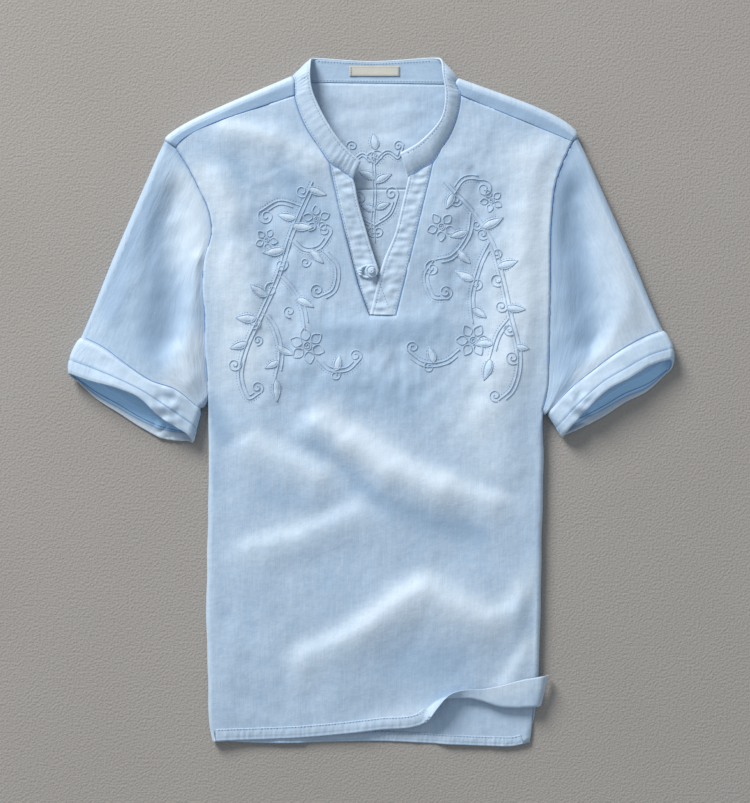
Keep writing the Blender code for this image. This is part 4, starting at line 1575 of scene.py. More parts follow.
@dataclass
class Tube:
    """The shared form of one sleeve and its cuff, flattened and half turned."""

    form: Body
    hand: Hand
    stations: tuple
    folds: tuple
    # Painted highlights and painted shade of the sleeve's upper face, as fold rows.
    painted_light: tuple
    bend: int = 4
    sleeve_rows: int = 4
    end_rows: int = 2
    cuff_rows: int = 3
    bulge: float = 8.0
    belly: float = 4.0
    edge_height: float = 0.8
    broad: Crumple = Crumple(1.5, 38.0, 51.0)
    middling: Crumple = Crumple(0.7, 17.0, 53.0)
    fine: Crumple = Crumple(0.2, 8.0, 57.0)
    cuff_bunch: Crumple = Crumple(4.6, 10.0, 69.0)
    cuff_broad: Crumple = Crumple(1.4, 26.0, 59.0)
    cuff_fine: Crumple = Crumple(0.4, 11.0, 61.0)
    under_wave: Crumple = Crumple(0.5, 24.0, 63.0)
    under_rise: float = 0.7
    under_bunch: Crumple = Crumple(9.0, 13.0, 67.0)
    path: list = field(init=False)

    def __post_init__(self) -> None:
        """Work out the armhole's path from the shoulder to the armpit."""
        points = [self.form.shoulder(self.hand, 0.0)[0]]
        points += [self.form.arm(self.hand, level) for level in range(self.form.top_row, -1, -1)]
        lengths = [0.0]
        for before, after in zip(points, points[1:]):
            lengths.append(lengths[-1] + (after - before).length)
        self.path = [
            Ring(index, point.x, point.y, length / lengths[-1])
            for index, (point, length) in enumerate(zip(points, lengths))
        ]

    @property
    def word(self) -> str:
        """Return the side's word, as the names hold it."""
        return self.hand.name.lower()

    @property
    def upper(self) -> int:
        """Return the last column of the upper face."""
        return len(self.path) - 1

    @property
    def columns(self) -> int:
        """Return the columns all the way round."""
        return 2 * (self.upper + self.bend)

    def is_low(self, column: float) -> bool:
        """Return whether a column lies on the lower face, clear of both rolls."""
        return self.upper + 1.5 < column < self.columns - 1.5

    def outward(self, top: bool, first: float) -> Vector:
        """Return the way in which an end of the tube bulges, in plan.

        Args:
            top: Whether it is the end at the shoulder.
            first: Share of the way along the sleeve.

        Returns:
            The way, one long.
        """
        low, high = (self.stations[0], self.stations[1]) if top else (self.stations[-1], self.stations[-2])
        end = Vector((low.edge_x - high.edge_x, low.edge_y - high.edge_y)).normalized()
        begin = self.form.shoulder(self.hand, 0.0)[1] if top else Vector((0.0, -1.0))
        return begin.lerp(end, first).normalized()

    def place(self, column: float, along: float, inset: float) -> tuple[Vector, float]:
        """Return a point of the tube and its share round the upper face.

        Args:
            column: Column round the tube, from the shoulder over the upper face.
            along: 0 at the armhole, 1 at the cuff's edge, 2 at its rim.
            inset: Distance inside the cuff's outer face.

        Returns:
            The point, and its share from the shoulder to the armpit.
        """
        upper, bend = self.upper, self.bend
        column = column % self.columns
        angle = None
        is_low = False
        if column <= upper:
            index = column
        elif column < upper + bend:
            index, angle = upper, 0.5 * math.pi - math.pi * (column - upper) / bend
        elif column <= 2 * upper + bend:
            index, is_low = 2 * upper + bend - column, True
        else:
            index, angle = 0, math.pi * (column - 2 * upper - bend) / bend - 0.5 * math.pi
        start = smooth(self.path, index)
        share = start.share
        station = smooth(self.stations, mix(0.05, 0.95, share))
        edge = Vector((station.edge_x, station.edge_y))
        over = max(along - 1.0, 0.0)
        first = min(along, 1.0)
        belly = Vector((self.hand.value * self.belly * math.sin(math.pi * over) * (1.0 - share) ** 3, 0.0))
        begin = Vector((start.x, start.y))
        high = begin.lerp(edge.lerp(Vector((station.rim_x, station.rim_y)), over) + belly, first)
        under = begin.lerp(edge.lerp(Vector((station.low_x, station.low_y)), over) + belly, first)
        roll = self.form.side(self.form.armpits[self.hand.index][1]).roll
        base = self.form.top(start.x, start.y)
        base = mix(2.0 * self.form.shoulder_roll, base, ease(index))
        base = mix(2.0 * roll, base, ease(upper - index))
        height = mix(base, mix(self.edge_height * station.height, station.height, over), ease(first))
        calm = ease(first * 5.0) * ease(share * 7.0) * ease((1.0 - share) * 7.0)
        if angle is None and not is_low:
            slack = calm * ease((1.0 - first) * 4.0)
            height += relief(self.folds, high.x, high.y) * slack
            height += self.broad.at(*high) * slack
            height += (self.middling.at(*high) + self.fine.at(*high)) * slack
            if over > 0.0:
                height += self.cuff_bunch.at(*high) * ease((share - 0.66) * 6.0) * calm
                height += (self.cuff_broad.at(*high) + self.cuff_fine.at(*high)) * calm
        if angle is None:
            if is_low:
                lift = self.under_rise * (0.5 + self.under_wave.at(*under)) * calm
                lift += abs(self.under_bunch.at(*under)) * ease((share - 0.6) * 4.0) * calm
                return Vector((under.x, under.y, inset + lift)), share
            return Vector((high.x, high.y, height - inset)), share
        outer = self.form.shoulder_roll if index == 0 else roll
        reach = (mix(outer, self.bulge, first) - inset) * math.cos(angle)
        point = 0.5 * (high + under) + self.outward(index == 0, first) * reach
        point += 0.5 * (high - under) * math.sin(angle)
        return Vector((point.x, point.y, 0.5 * height + (0.5 * height - inset) * math.sin(angle))), share


@dataclass
class Sleeve(Panel):
    """One sleeve, its end held inside the cuff."""

    tube: Tube
    inset: float = 2.3
    seam_inset: float = 0.7
    # Painted shade along the armhole seam; under_tone sends the lower face, seen in the cuff's mouth, to the
    # bright deep blue painted as light in that shade.
    seam_shade: float = -0.7
    under_tone: float = 2.0
    weave_round: tuple = (235.0, 165.0)
    weave_length: float = 150.0

    def corner(self, column: float, row: float) -> Corner:
        """Return a corner of the sleeve.

        Args:
            column: Column of the grid, whole or between two.
            row: Row of the grid, whole or between two.

        Returns:
            Its place, weave place and tone.
        """
        tube = self.tube
        along = row / tube.sleeve_rows
        if row > tube.sleeve_rows:
            along = 1.0 + (row - tube.sleeve_rows) / tube.cuff_rows
        inset = self.inset * ease((along - 0.55) / 0.4) + self.seam_inset * ease(1.0 - along * 9.0)
        point, share = tube.place(column, along, inset)
        # Painted shade at the armhole seam, painted light inside the cuff's mouth, and the painted fold
        # light on the upper face.
        tone = self.seam_shade * ease(1.0 - along * 22.0)
        if tube.is_low(column):
            tone -= self.under_tone * ease(along * 2.0 - 0.6)
        if column <= tube.upper:
            tone += relief(tube.painted_light, point.x, point.y)
        around = mix(*self.weave_round, min(along, 1.0)) * column / tube.upper
        return Corner(point, (around, self.weave_length * along), tone)

    def cloth(self) -> Cloth:
        """Return the sleeve's grid.

        Returns:
            The grid, ready to build.
        """
        tube = self.tube
        rows = tube.sleeve_rows + tube.end_rows
        flipped = tube.hand is Hand.LEFT
        name = f"sleeve_{tube.word}_linen"
        return Cloth(
            name, tube.columns, rows, fine_columns=6, fine_rows=16, corner=self.corner, ring=True,
            flipped=flipped,
        )

    def node_name(self) -> str:
        """Return the node that the sleeve stands for."""
        return f"sleeve_{self.tube.word}"


@dataclass
class Cuff(Panel):
    """One turned-up cuff of double cloth round the sleeve's end."""

    tube: Tube
    wall: float = 1.6
    edge_round: float = 1.1
    seam: float = 0.6
    seam_depth: float = 0.7
    step: float = 0.35
    # Painted highlights on the cuff's edge and rim, painted shade in its seam groove, and on the lower face
    # the bright deep blue painted as light in the mouth's shade, then a painted highlight at the lower rim.
    edge_highlight: float = 0.8
    seam_shade: float = 0.7
    inner_tones: tuple = (-2.0, 1.0)
    inner_line: tuple = (0.93, 0.76)
    weave: tuple = (160.0, 36.0)
    slot = "linen_double"

    def corner(self, column: float, row: float) -> Corner:
        """Return a corner of the cuff, rounded over at its edge and its rim.

        Args:
            column: Column of the grid, whole or between two.
            row: Row of the grid, whole or between two.

        Returns:
            Its place, weave place and tone.
        """
        tube = self.tube
        share = row / tube.cuff_rows
        roll = self.edge_round * (ease(1.0 - share * 9.0) + ease((share - 0.9) * 10.0))
        roll += self.seam_depth * groove(share, self.seam, STITCH_LINE)
        roll += self.step * ease((self.seam - share) * 20.0)
        point, around = tube.place(column, 1.0 + share, roll)
        # Painted highlights on the edge and the rim, painted shade in the seam groove.
        tone = self.edge_highlight * (ease(1.0 - share * 12.0) + ease((share - 0.92) * 12.0))
        tone -= self.seam_shade * ease(1.0 - abs(share - self.seam) * 18.0)
        # On the lower face: the bright deep blue painted as light in the mouth's shade, then a painted
        # highlight at the rim.
        if tube.is_low(column):
            tone += mix(*self.inner_tones, ease((share - mix(*self.inner_line, around)) * 12.0))
        return Corner(point, (self.weave[0] * column / tube.upper, self.weave[1] * share), tone)

    def cloth(self) -> Cloth:
        """Return the cuff's grid.

        Returns:
            The grid, ready to build.
        """
        tube = self.tube
        name = f"cuff_{tube.word}_linen"
        flipped = tube.hand is Hand.LEFT
        return Cloth(
            name, tube.columns, tube.cuff_rows, fine_columns=6, fine_rows=10, corner=self.corner, ring=True,
            thickness=self.wall, flipped=flipped,
        )

    def node_name(self) -> str:
        """Return the node that the cuff stands for."""
        return f"cuff_{self.tube.word}"


@dataclass
class Collar(Panel):
    """The band collar, standing in front and lying open at the back."""

    form: Body
    bands: tuple
    edge: tuple
    rows: int = 3
    neck: int = 4
    bend: int = 4
    crown: float = 1.5
    wall: float = 1.9
    ripple: float = 0.24
    crumple: Crumple = Crumple(1.0, 16.0, 73.0)
    stitch_lines: tuple = (0.1, 0.86)
    stitch_depth: float = 0.4
    edge_round: float = 0.8
    foot_round: float = 0.5
    # Painted highlight on the free edge, painted shade at the foot, and the back of the collar painted
    # darker.
    edge_highlight: float = 0.9
    foot_shade: float = 0.7
    back_columns: tuple = (11.0, 17.0)
    back_tone: float = 0.35
    weave: tuple = (26.0, 30.0)
    slot = "linen_double"
    seam: list = field(init=False)

    def __post_init__(self) -> None:
        """Work out the collar's lower edge and the way its wall goes in."""
        halves = []
        down = Vector((0.0, 0.0, -1.0))
        for hand in Hand:
            front = self.bands[-1].inner(hand)
            start = self.form.opening(hand, self.form.opening_row)
            points = [front, front.lerp(start, 0.5)]
            levels = range(self.form.opening_row, self.form.top_row + 1)
            points += [self.form.opening(hand, level) for level in levels]
            half = [(Vector((*point, self.form.top(*point))), down) for point in points]
            centre, outward = self.form.shoulder(hand, 1.0)
            top = centre.to_3d() + Vector((0.0, 0.0, 2.0 * self.form.shoulder_roll))
            half.append((half[-1][0].lerp(top, 0.5), down))
            for step in range(self.bend + 1):
                angle = 0.5 * math.pi - math.pi * step / self.bend
                into = -outward.to_3d() * math.cos(angle) - Vector((0.0, 0.0, math.sin(angle)))
                half.append((roll_point(centre, outward, self.form.shoulder_roll, angle), into))
            halves.append(half)
        left, right = halves
        back = [
            (left[-1][0].lerp(right[-1][0], step / self.neck), Vector((0.0, 0.0, 1.0)))
            for step in range(1, self.neck)
        ]
        line = left + back + right[::-1]
        self.seam = [Seam(index, *point, *into) for index, (point, into) in enumerate(line)]

    def at(self, column: float, share: float) -> Vector:
        """Return a point of the outer face, share 0 at the seam and 1 at the free edge.

        Args:
            column: Column of the grid, whole or between two.
            share: Share from the seam to the free edge.

        Returns:
            The point in millimetres.
        """
        seam = smooth(self.seam, column)
        high = smooth(self.edge, column)
        into = Vector((seam.into_x, seam.into_y, seam.into_z))
        point = Vector((seam.x, seam.y, seam.z)).lerp(Vector((high.x, high.y, high.z)), share)
        swell = self.crown * math.sin(math.pi * share) * max(-into.z, 0.0)
        return point - into * swell

    def corner(self, column: float, row: float) -> Corner:
        """Return a corner of the collar, rounded over at its free edge.

        Args:
            column: Column of the grid, whole or between two.
            row: Row of the grid, whole or between two.

        Returns:
            Its place, weave place and tone.
        """
        share = row / self.rows
        point = self.at(column, share)
        into = Vector(smooth(self.seam, column)[4:])
        ripple = math.sin(column * 14.0 + 4.0 * crumple(column * 9.0, share * 9.0, 12.0, 71.0))
        ends = ease((3.0 - min(column, len(self.seam) - 1 - column)) / 3.0)
        calm = math.sin(math.pi * share)
        wave = -self.stitch_depth * sum(groove(share, line, COLLAR_LINE) for line in self.stitch_lines)
        soft = self.crumple.at(column * 12.0, share * 20.0) * calm
        wave += self.ripple * ripple * calm * (1.0 + 2.0 * ends) + soft
        rounded = self.edge_round * ease((share - 0.93) * 14.0)
        point -= into * (wave - rounded - self.foot_round * ease(1.0 - share * 14.0))
        point.z = max(point.z, 0.0)
        # Painted highlight on the free edge and painted shade at the foot; the back is painted darker.
        tone = self.edge_highlight * ease((share - 0.9) * 12.0) - self.foot_shade * ease((0.06 - share) * 20.0)
        if self.back_columns[0] < column < self.back_columns[1]:
            tone -= self.back_tone
        return Corner(point, (self.weave[0] * column, self.weave[1] * share), tone)

    def cloth(self) -> Cloth:
        """Return the collar's grid.

        Returns:
            The grid, ready to build.
        """
        columns = len(self.seam) - 1
        return Cloth(
            "collar_linen", columns, self.rows, fine_columns=8, fine_rows=8, corner=self.corner,
            thickness=self.wall, flipped=True,
        )

    def node_name(self) -> str:
        """Return the node that the collar stands for."""
        return "collar_band"


@dataclass
class Placket(Panel):
    """One band of the opening, from its foot to the collar."""

    form: Body
    bands: tuple
    hand: Hand
    columns: int = 2
    wall: float = 1.2
    lift: float = 0.7
    ripple: float = 0.40
    pitch: float = 2.3
    warp: Crumple = Crumple(3.0, 15.0, 81.0)
    crumple: Crumple = Crumple(1.3, 11.0, 83.0, 1.8)
    edge_round: float = 0.7
    stitch_lines: tuple = (0.1, 0.86)
    stitch_depth: float = 0.45
    # Painted highlight on the free edge and painted shade at the seam.
    edge_highlight: float = 0.8
    seam_shade: float = 0.7
    weave: float = 30.0
    slot = "linen_double"

    def at(self, level: float, across: float) -> Vector:
        """Return a point of the band in space, across 0 at the seam and 1 at the free edge.

        Args:
            level: Seam level above the armpits.
            across: Share from the seam to the free edge.

        Returns:
            The point in millimetres.
        """
        band = smooth(self.bands, level)
        point = self.form.opening(self.hand, level).lerp(band.inner(self.hand), across)
        drop = band.drop if self.hand is Hand.LEFT else -0.3 * across
        return Vector((point.x, point.y, self.form.top(point.x, point.y) - drop))

    def corner(self, column: float, row: float) -> Corner:
        """Return a corner of the band.

        Args:
            column: Column of the grid, whole or between two.
            row: Row of the grid, whole or between two.

        Returns:
            Its place, weave place and tone.
        """
        across = column / self.columns
        level = self.form.apex + row
        point = self.at(level, across)
        calm = math.sin(math.pi * across)
        ripple = math.sin(point.y / self.pitch + self.warp.at(point.x, point.y))
        point.z += self.lift + self.ripple * ripple * calm + self.crumple.at(point.x, point.y) * calm
        point.z -= self.edge_round * (ease(1.0 - across * 12.0) + ease((across - 0.92) * 13.0))
        point.z -= self.stitch_depth * sum(groove(across, line, STITCH_LINE) for line in self.stitch_lines)
        # Painted highlight on the free edge and painted shade at the seam.
        tone = self.edge_highlight * ease((across - 0.9) * 12.0) - self.seam_shade * ease((0.07 - across) * 18.0)
        return Corner(point, (self.weave * across, point.y), tone)

    def cloth(self) -> Cloth:
        """Return the band's grid.

        Returns:
            The grid, ready to build.
        """
        rows = self.form.opening_row - self.form.apex
        name = f"{self.node_name()}_linen"
        flipped = self.hand is Hand.RIGHT
        return Cloth(
            name, self.columns, rows, fine_columns=14, fine_rows=24, corner=self.corner,
            thickness=self.wall, flipped=flipped,
        )

    def node_name(self) -> str:
        """Return the node that the band stands for."""
        return f"placket_{self.hand.name.lower()}"


class Surface:
    """The upper faces of some pieces, to lay other pieces on."""

    def __init__(self, *pieces: bpy.types.Object) -> None:
        """Gather the pieces' faces.

        Args:
            pieces: Sheets whose faces are read.
        """
        self.trees = []
        for piece in pieces:
            mesh = bmesh.new()
            mesh.from_mesh(piece.data)
            self.trees.append((BVHTree.FromBMesh(mesh), piece.modifiers["wall"].thickness))
            mesh.free()

    def over(self, x: float, y: float, lift: float = 0.0) -> Vector | None:
        """Return the highest point at a place in plan, in millimetres, or None.

        Args:
            x: Place across, in millimetres.
            y: Place along, in millimetres.
            lift: Height added, in millimetres.

        Returns:
            The point in millimetres, or None off the pieces.
        """
        best = None
        for tree, wall in self.trees:
            hit, normal = tree.ray_cast(Vector((x * MM, y * MM, 0.2)), Vector((0.0, 0.0, -1.0)))[:2]
            if hit is None:
                continue
            height = hit.z + (wall if normal.z < 0.0 else 0.0)
            if best is None or height > best:
                best = height
        return None if best is None else Vector((x, y, best / MM + lift))

    def along(self, line: Sequence[Vector], lift: float = 0.0, limit: float = 100.0) -> list[Vector]:
        """Return a plan line laid on the surface, without its places off it or above a limit."""
        laid = [self.over(point.x, point.y, lift) for point in line]
        return [point for point in laid if point is not None and point.z < limit]


def spaced(line: Sequence[Vector], step: float) -> list[Vector]:
    """Return points at even steps along a line.

    Args:
        line: Points of the line, in order.
        step: Distance between two points, in millimetres.

    Returns:
        The points, the first one being the line's own.
    """
    points = [line[0].copy()]
    left = step
    for before, after in zip(line, line[1:]):
        run = (after - before).length
        gone = 0.0
        while run - gone >= left:
            gone += left
            points.append(before.lerp(after, gone / run))
            left = step
        left -= run - gone
    return points


def shifted(line: Sequence[Vector], by: float) -> list[Vector]:
    """Return a plan line moved sideways, to the left of its run.

    Args:
        line: Points of the line, in order.
        by: How far to move it, in millimetres.

    Returns:
        The moved line.
    """
    moved = []
    for index, point in enumerate(line):
        run = line[min(index + 1, len(line) - 1)] - line[max(index - 1, 0)]
        run = Vector((run.x, run.y)).normalized()
        moved.append(Vector((point.x - run.y * by, point.y + run.x * by)))
    return moved


def curve(points: Sequence[tuple], steps: int = 9) -> list[Vector]:
    """Return a smooth plan line through some points.

    Args:
        points: Places that it goes through.
        steps: Points for each stretch.

    Returns:
        The line's points.
    """
    knots = [Vector(point) for point in points]
    knots = [2 * knots[0] - knots[1]] + knots + [2 * knots[-1] - knots[-2]]
    line = []
    for a, b, c, d in zip(knots, knots[1:], knots[2:], knots[3:]):
        for step in range(steps):
            t = step / steps
            bend = (2 * a - 5 * b + 4 * c - d) * t * t + (3 * b - a - 3 * c + d) * t * t * t
            line.append(0.5 * (2 * b + (c - a) * t + bend))
    return line + [knots[-2]]


@dataclass
class SeamBand:
    """A felled seam or hem: a narrow doubled strip with puckers, laid on the cloth."""

    name: str
    line: list
    width: float
    rise: float = 0.6
    pucker: float = 0.16
    pitch: float = 4.6
    seed: float = 0.0
    slot: str = "linen"
    columns: int = 12
    step: float = 1.3
    press_lines: tuple = (0.24, 0.84)
    press: float = 0.35
    end_run: float = 14.0

    def build(self, ground: Surface, linen: bpy.types.Material) -> bpy.types.Object:
        """Lay the strip to the left of its line.

        Args:
            ground: What it lies on.
            linen: Its material.

        Returns:
            The finished piece.
        """
        points = spaced(self.line, self.step)
        edge = shifted(points, self.width)

        def corner(column: float, row: float) -> Corner:
            """Return a corner of the strip.

            Args:
                column: Column of the grid, whole or between two.
                row: Row of the grid, whole or between two.

            Returns:
                Its place, weave place and tone.
            """
            across = column / self.columns
            index = min(round(row), len(points) - 1)
            plan = points[index].lerp(edge[index], across)
            spot = ground.over(plan.x, plan.y) or Vector((plan.x, plan.y, 0.0))
            dome = math.sin(math.pi * clamp(across, 0.02, 0.98)) ** 0.35
            along = index * self.step
            uneven = 5.0 * crumple(along, 0.0, 21.0, self.seed)
            ripple = math.sin(2.0 * math.pi * along / self.pitch + uneven)
            ripple *= 0.5 + crumple(along, 3.0, 17.0, self.seed + 2.0)
            ends = min(index, len(points) - 1 - index) * self.step
            dome *= ease(0.15 + ends / self.end_run)
            press = sum(groove(across, line, BAND_LINE) for line in self.press_lines)
            height = self.rise * dome + (self.pucker * ripple - self.press * press) * dome
            # A paler doubled band, with painted shade along its edge and in its pressed lines.
            tone = 0.40 - 0.8 * ease(1.0 - across * 9.0) - 0.45 * press
            return Corner(Vector((plan.x, plan.y, spot.z + height - 0.1)), (plan.x, plan.y), tone)

        rows = len(points) - 1
        cloth = Cloth(self.name, self.columns, rows, 1, 1, corner, thickness=0.5)
        piece = cloth.build(linen)
        carry(piece, self.slot)
        return piece


@dataclass
class Stitching:
    """Rows of machine stitches, each a small plump capsule pressed into the cloth."""

    name: str
    lines: list
    length: float = 2.3
    pitch: float = 3.3
    thick: float = 0.34
    slot: str = "cord"

    def build(self, thread: bpy.types.Material) -> bpy.types.Object:
        """Build all the stitches as one piece.

        Args:
            thread: Its material.

        Returns:
            The finished piece.
        """
        mesh = bmesh.new()
        for line in self.lines:
            if len(line) < 2:
                continue
            points = spaced(line, self.pitch)
            for before, after in zip(points, points[1:]):
                run = (after - before).normalized()
                turn = run.to_track_quat("X", "Z").to_matrix().to_4x4()
                size = Matrix.Diagonal((0.5 * self.length * MM, self.thick * MM, self.thick * MM, 1.0))
                spot = Matrix.Translation(before.lerp(after, 0.5) * MM)
                bmesh.ops.create_icosphere(mesh, subdivisions=1, radius=1.0, matrix=spot @ turn @ size)
        piece = finish(self.name, mesh, thread)
        carry(piece, self.slot)
        return piece


@dataclass
class Cording:
    """Couched cord: round cords laid on the cloth along drawn lines."""

    name: str
    lines: list
    radius: float = 0.75
    slot: str = "cord"
    sides: int = 2

    def build(self, thread: bpy.types.Material, *nodes: str) -> bpy.types.Object:
        """Build all the cords as one piece.

        Args:
            thread: Its material.
            nodes: Nodes that it takes the place of.

        Returns:
            The finished piece.
        """
        data = bpy.data.curves.new(self.name + "_line", "CURVE")
        data.dimensions = "3D"
        data.bevel_depth = self.radius * MM
        data.bevel_resolution = self.sides
        data.use_fill_caps = True
        for line in self.lines:
            if len(line) < 2:
                continue
            spline = data.splines.new("POLY")
            spline.points.add(len(line) - 1)
            for spot, point in zip(spline.points, line):
                spot.co = (*(point * MM), 1.0)
        guide = bpy.data.objects.new(self.name + "_line", data)
        bpy.context.scene.collection.objects.link(guide)
        bpy.context.view_layer.update()
        drawn = bpy.data.meshes.new_from_object(guide.evaluated_get(bpy.context.evaluated_depsgraph_get()))
        bpy.data.objects.remove(guide)
        bpy.data.curves.remove(data)
        mesh = bmesh.new()
        mesh.from_mesh(drawn)
        bpy.data.meshes.remove(drawn)
        piece = finish(self.name, mesh, thread)
        carry(piece, self.slot, *nodes)
        return piece


@dataclass
class Ornament:
    """A free design of vines, leaves, curls and blossoms in plan lines."""

    stems: tuple = ()
    leaves: tuple = ()
    curls: tuple = ()
    blossoms: tuple = ()
    apart: float = 4.2
    beside: float = -3.0
    leaf_shape: float = 0.8
    stitched_leaf: float = 1.55
    curl_steps: int = 22
    curl_in: float = 0.86
    petal_foot: float = 0.36
    petal_length: float = 0.8
    petal_width: float = 0.62
    heart_size: float = 0.3

    def curl(self, curl: Curl) -> list[Vector]:
        """Return a spiral that starts at its place and winds in.

        Args:
            curl: Its place, size and hand.

        Returns:
            The spiral's points.
        """
        heading = math.radians(curl.heading)
        side = Vector((-math.sin(heading), math.cos(heading))) * curl.hand
        centre = Vector((curl.x, curl.y)) + side * curl.radius
        start = math.atan2(-side.y, -side.x)
        line = []
        count = int(self.curl_steps * curl.turns)
        for step in range(count + 1):
            share = step / count
            angle = start + curl.hand * 2.0 * math.pi * curl.turns * share
            reach = curl.radius * (1.0 - self.curl_in * share)
            line.append(centre + Vector((math.cos(angle), math.sin(angle))) * reach)
        return line

    def leaf(self, leaf: Leaf, width: float = 1.0) -> list[Vector]:
        """Return a pointed leaf's outline, there and back.

        Args:
            leaf: Its place, size and bend.
            width: Factor on its width.

        Returns:
            The outline's points.
        """
        heading = math.radians(leaf.heading)
        way = Vector((math.cos(heading), math.sin(heading)))
        side = Vector((-way.y, way.x))
        line = []
        for step in range(2 * LEAF_STEPS + 1):
            share = step / LEAF_STEPS if step <= LEAF_STEPS else (2 * LEAF_STEPS - step) / LEAF_STEPS
            sign = 1.0 if step <= LEAF_STEPS else -1.0
            out = 0.5 * leaf.width * width * math.sin(math.pi * share ** self.leaf_shape) * sign
            bend = leaf.bend * share * share
            line.append(Vector((leaf.x, leaf.y)) + way * leaf.length * share + side * (out + bend))
        return line

    def blossom(self, blossom: Blossom) -> list[list[Vector]]:
        """Return a blossom's petals and its heart.

        Args:
            blossom: Its place and size.

        Returns:
            The petals' lines and the heart's line.
        """
        lines = []
        for petal in range(int(blossom.petals)):
            heading = blossom.turn + 360.0 * petal / blossom.petals
            angle = math.radians(heading)
            way = Vector((math.cos(angle), math.sin(angle)))
            base = Vector((blossom.x, blossom.y)) + way * blossom.radius * self.petal_foot
            size = (blossom.radius * self.petal_length, blossom.radius * self.petal_width)
            lines.append(self.leaf(Leaf(base.x, base.y, heading, *size, 0.0)))
        heart = self.heart_size * blossom.radius
        lines.append(self.curl(Curl(blossom.x, blossom.y - heart, 0.0, heart, 2.0, 1)))
        return lines

    def lines(self) -> list[list[Vector]]:
        """Return every corded line of the design.

        Returns:
            The lines in plan.
        """
        drawn = []
        for stem in self.stems:
            main = curve(stem)
            drawn.append(main)
            drawn.append(shifted(main, self.apart)[3:-3])
        drawn += [self.leaf(leaf) for leaf in self.leaves]
        drawn += [self.curl(curl) for curl in self.curls]
        for blossom in self.blossoms:
            drawn += self.blossom(blossom)
        return drawn

    def outlines(self) -> list[list[Vector]]:
        """Return the lines of running stitch beside the stems and round the leaves.

        Returns:
            The lines in plan.
        """
        drawn = [shifted(curve(stem), self.beside) for stem in self.stems]
        drawn += [self.leaf(leaf, self.stitched_leaf) for leaf in self.leaves]
        return drawn


@dataclass
class Satin:
    """Satin-stitched leaves: low domes of thread inside the corded outlines."""

    name: str
    leaves: tuple
    rise: float = 0.9
    sink: float = 0.15
    fill: float = 0.86
    columns: int = 6
    wall: float = 0.3

    def build(self, ground: Surface, thread: bpy.types.Material) -> bpy.types.Object:
        """Build all the leaves as one piece.

        Args:
            ground: The faces that it lies on.
            thread: Its material.

        Returns:
            The finished piece.
        """
        mesh = bmesh.new()
        for leaf in self.leaves:
            outline = Ornament().leaf(leaf, self.fill)
            made = bmesh.ops.create_grid(mesh, x_segments=self.columns, y_segments=LEAF_STEPS, size=0.5)
            for vert in made["verts"]:
                step = round((vert.co.y + 0.5) * LEAF_STEPS)
                across = vert.co.x + 0.5
                plan = outline[step]
                if 0 < step < LEAF_STEPS:
                    plan = outline[2 * LEAF_STEPS - step].lerp(outline[step], across)
                spot = ground.over(plan.x, plan.y) or Vector((plan.x, plan.y, 10.0))
                arch = math.sin(math.pi * across) * math.sin(math.pi * clamp(step / LEAF_STEPS))
                dome = math.sqrt(max(arch, 0.0))
                vert.co = Vector((plan.x, plan.y, spot.z - self.sink + self.rise * dome)) * MM
        bmesh.ops.remove_doubles(mesh, verts=mesh.verts[:], dist=0.01 * MM)
        piece = finish(self.name, mesh, thread, self.wall)
        carry(piece, "cord")
        return piece


@dataclass
class KnotButton:
    """The button: a ball of interlaced cord on a short shank."""

    seat: float
    x: float = 1.4
    y: float = 139.9
    radius: float = 5.8
    cord: float = 1.35
    centre: float = 6.2
    turn: float = 0.8
    flat: float = 0.82
    ring_rise: float = 1.6
    ring_tilt: float = 0.7
    ring_steps: int = 48
    crown_turns: float = 1.45
    crown_reach: tuple = (3.3, 0.5)
    crown_steps: int = 40
    crown_sink: float = 0.5
    heart_drop: float = 0.4
    heart_flat: float = 0.86
    shank: float = 1.9
    shank_heights: tuple = (0.0, 1.5, 3.4)

    def around(self, turn: float, reach: float, height: float) -> Vector:
        """Return a point round the button's middle line."""
        return Vector((self.x + math.cos(turn) * reach, self.y + math.sin(turn) * reach, height))

    def ring(self) -> list[Vector]:
        """Return the cord round the ball's middle.

        Returns:
            The cord's middle line.
        """
        line = []
        for step in range(self.ring_steps + 1):
            turn = 2.0 * math.pi * step / self.ring_steps
            height = self.seat + self.centre + self.ring_rise + self.ring_tilt * math.sin(turn - 0.8)
            line.append(self.around(turn, self.radius, height))
        return line

    def crown(self) -> list[Vector]:
        """Return the cord that winds in over the ball's top.

        Returns:
            The cord's middle line.
        """
        line = []
        for step in range(self.crown_steps + 1):
            share = step / self.crown_steps
            turn = self.turn + 2.0 * math.pi * self.crown_turns * share
            reach = mix(*self.crown_reach, share ** 0.8)
            height = self.seat + self.centre + self.flat * math.sqrt(self.radius ** 2 - reach ** 2)
            line.append(self.around(turn, reach, height - self.crown_sink))
        return line

    def build(self, thread: bpy.types.Material) -> list[bpy.types.Object]:
        """Build the knot, its heart and its shank.

        Args:
            thread: Its material.

        Returns:
            The three pieces.
        """
        cords = [self.ring(), self.crown()]
        knot = Cording("knot_cord", cords, self.cord, sides=4).build(thread, "knot_button")
        mesh = bmesh.new()
        bmesh.ops.create_uvsphere(mesh, u_segments=24, v_segments=16, radius=1.0)
        for vert in mesh.verts:
            reach = self.radius
            vert.co = Vector((
                self.x + vert.co.x * reach,
                self.y + vert.co.y * reach,
                self.seat + self.centre - self.heart_drop + vert.co.z * reach * self.heart_flat,
            )) * MM
        heart = finish("knot_heart", mesh, thread)
        carry(heart, "cord")
        stem = [Vector((self.x, self.y, self.seat + height)) for height in self.shank_heights]
        shank = Cording("knot_shank", [stem], self.shank, sides=4).build(thread)
        return [knot, heart, shank]


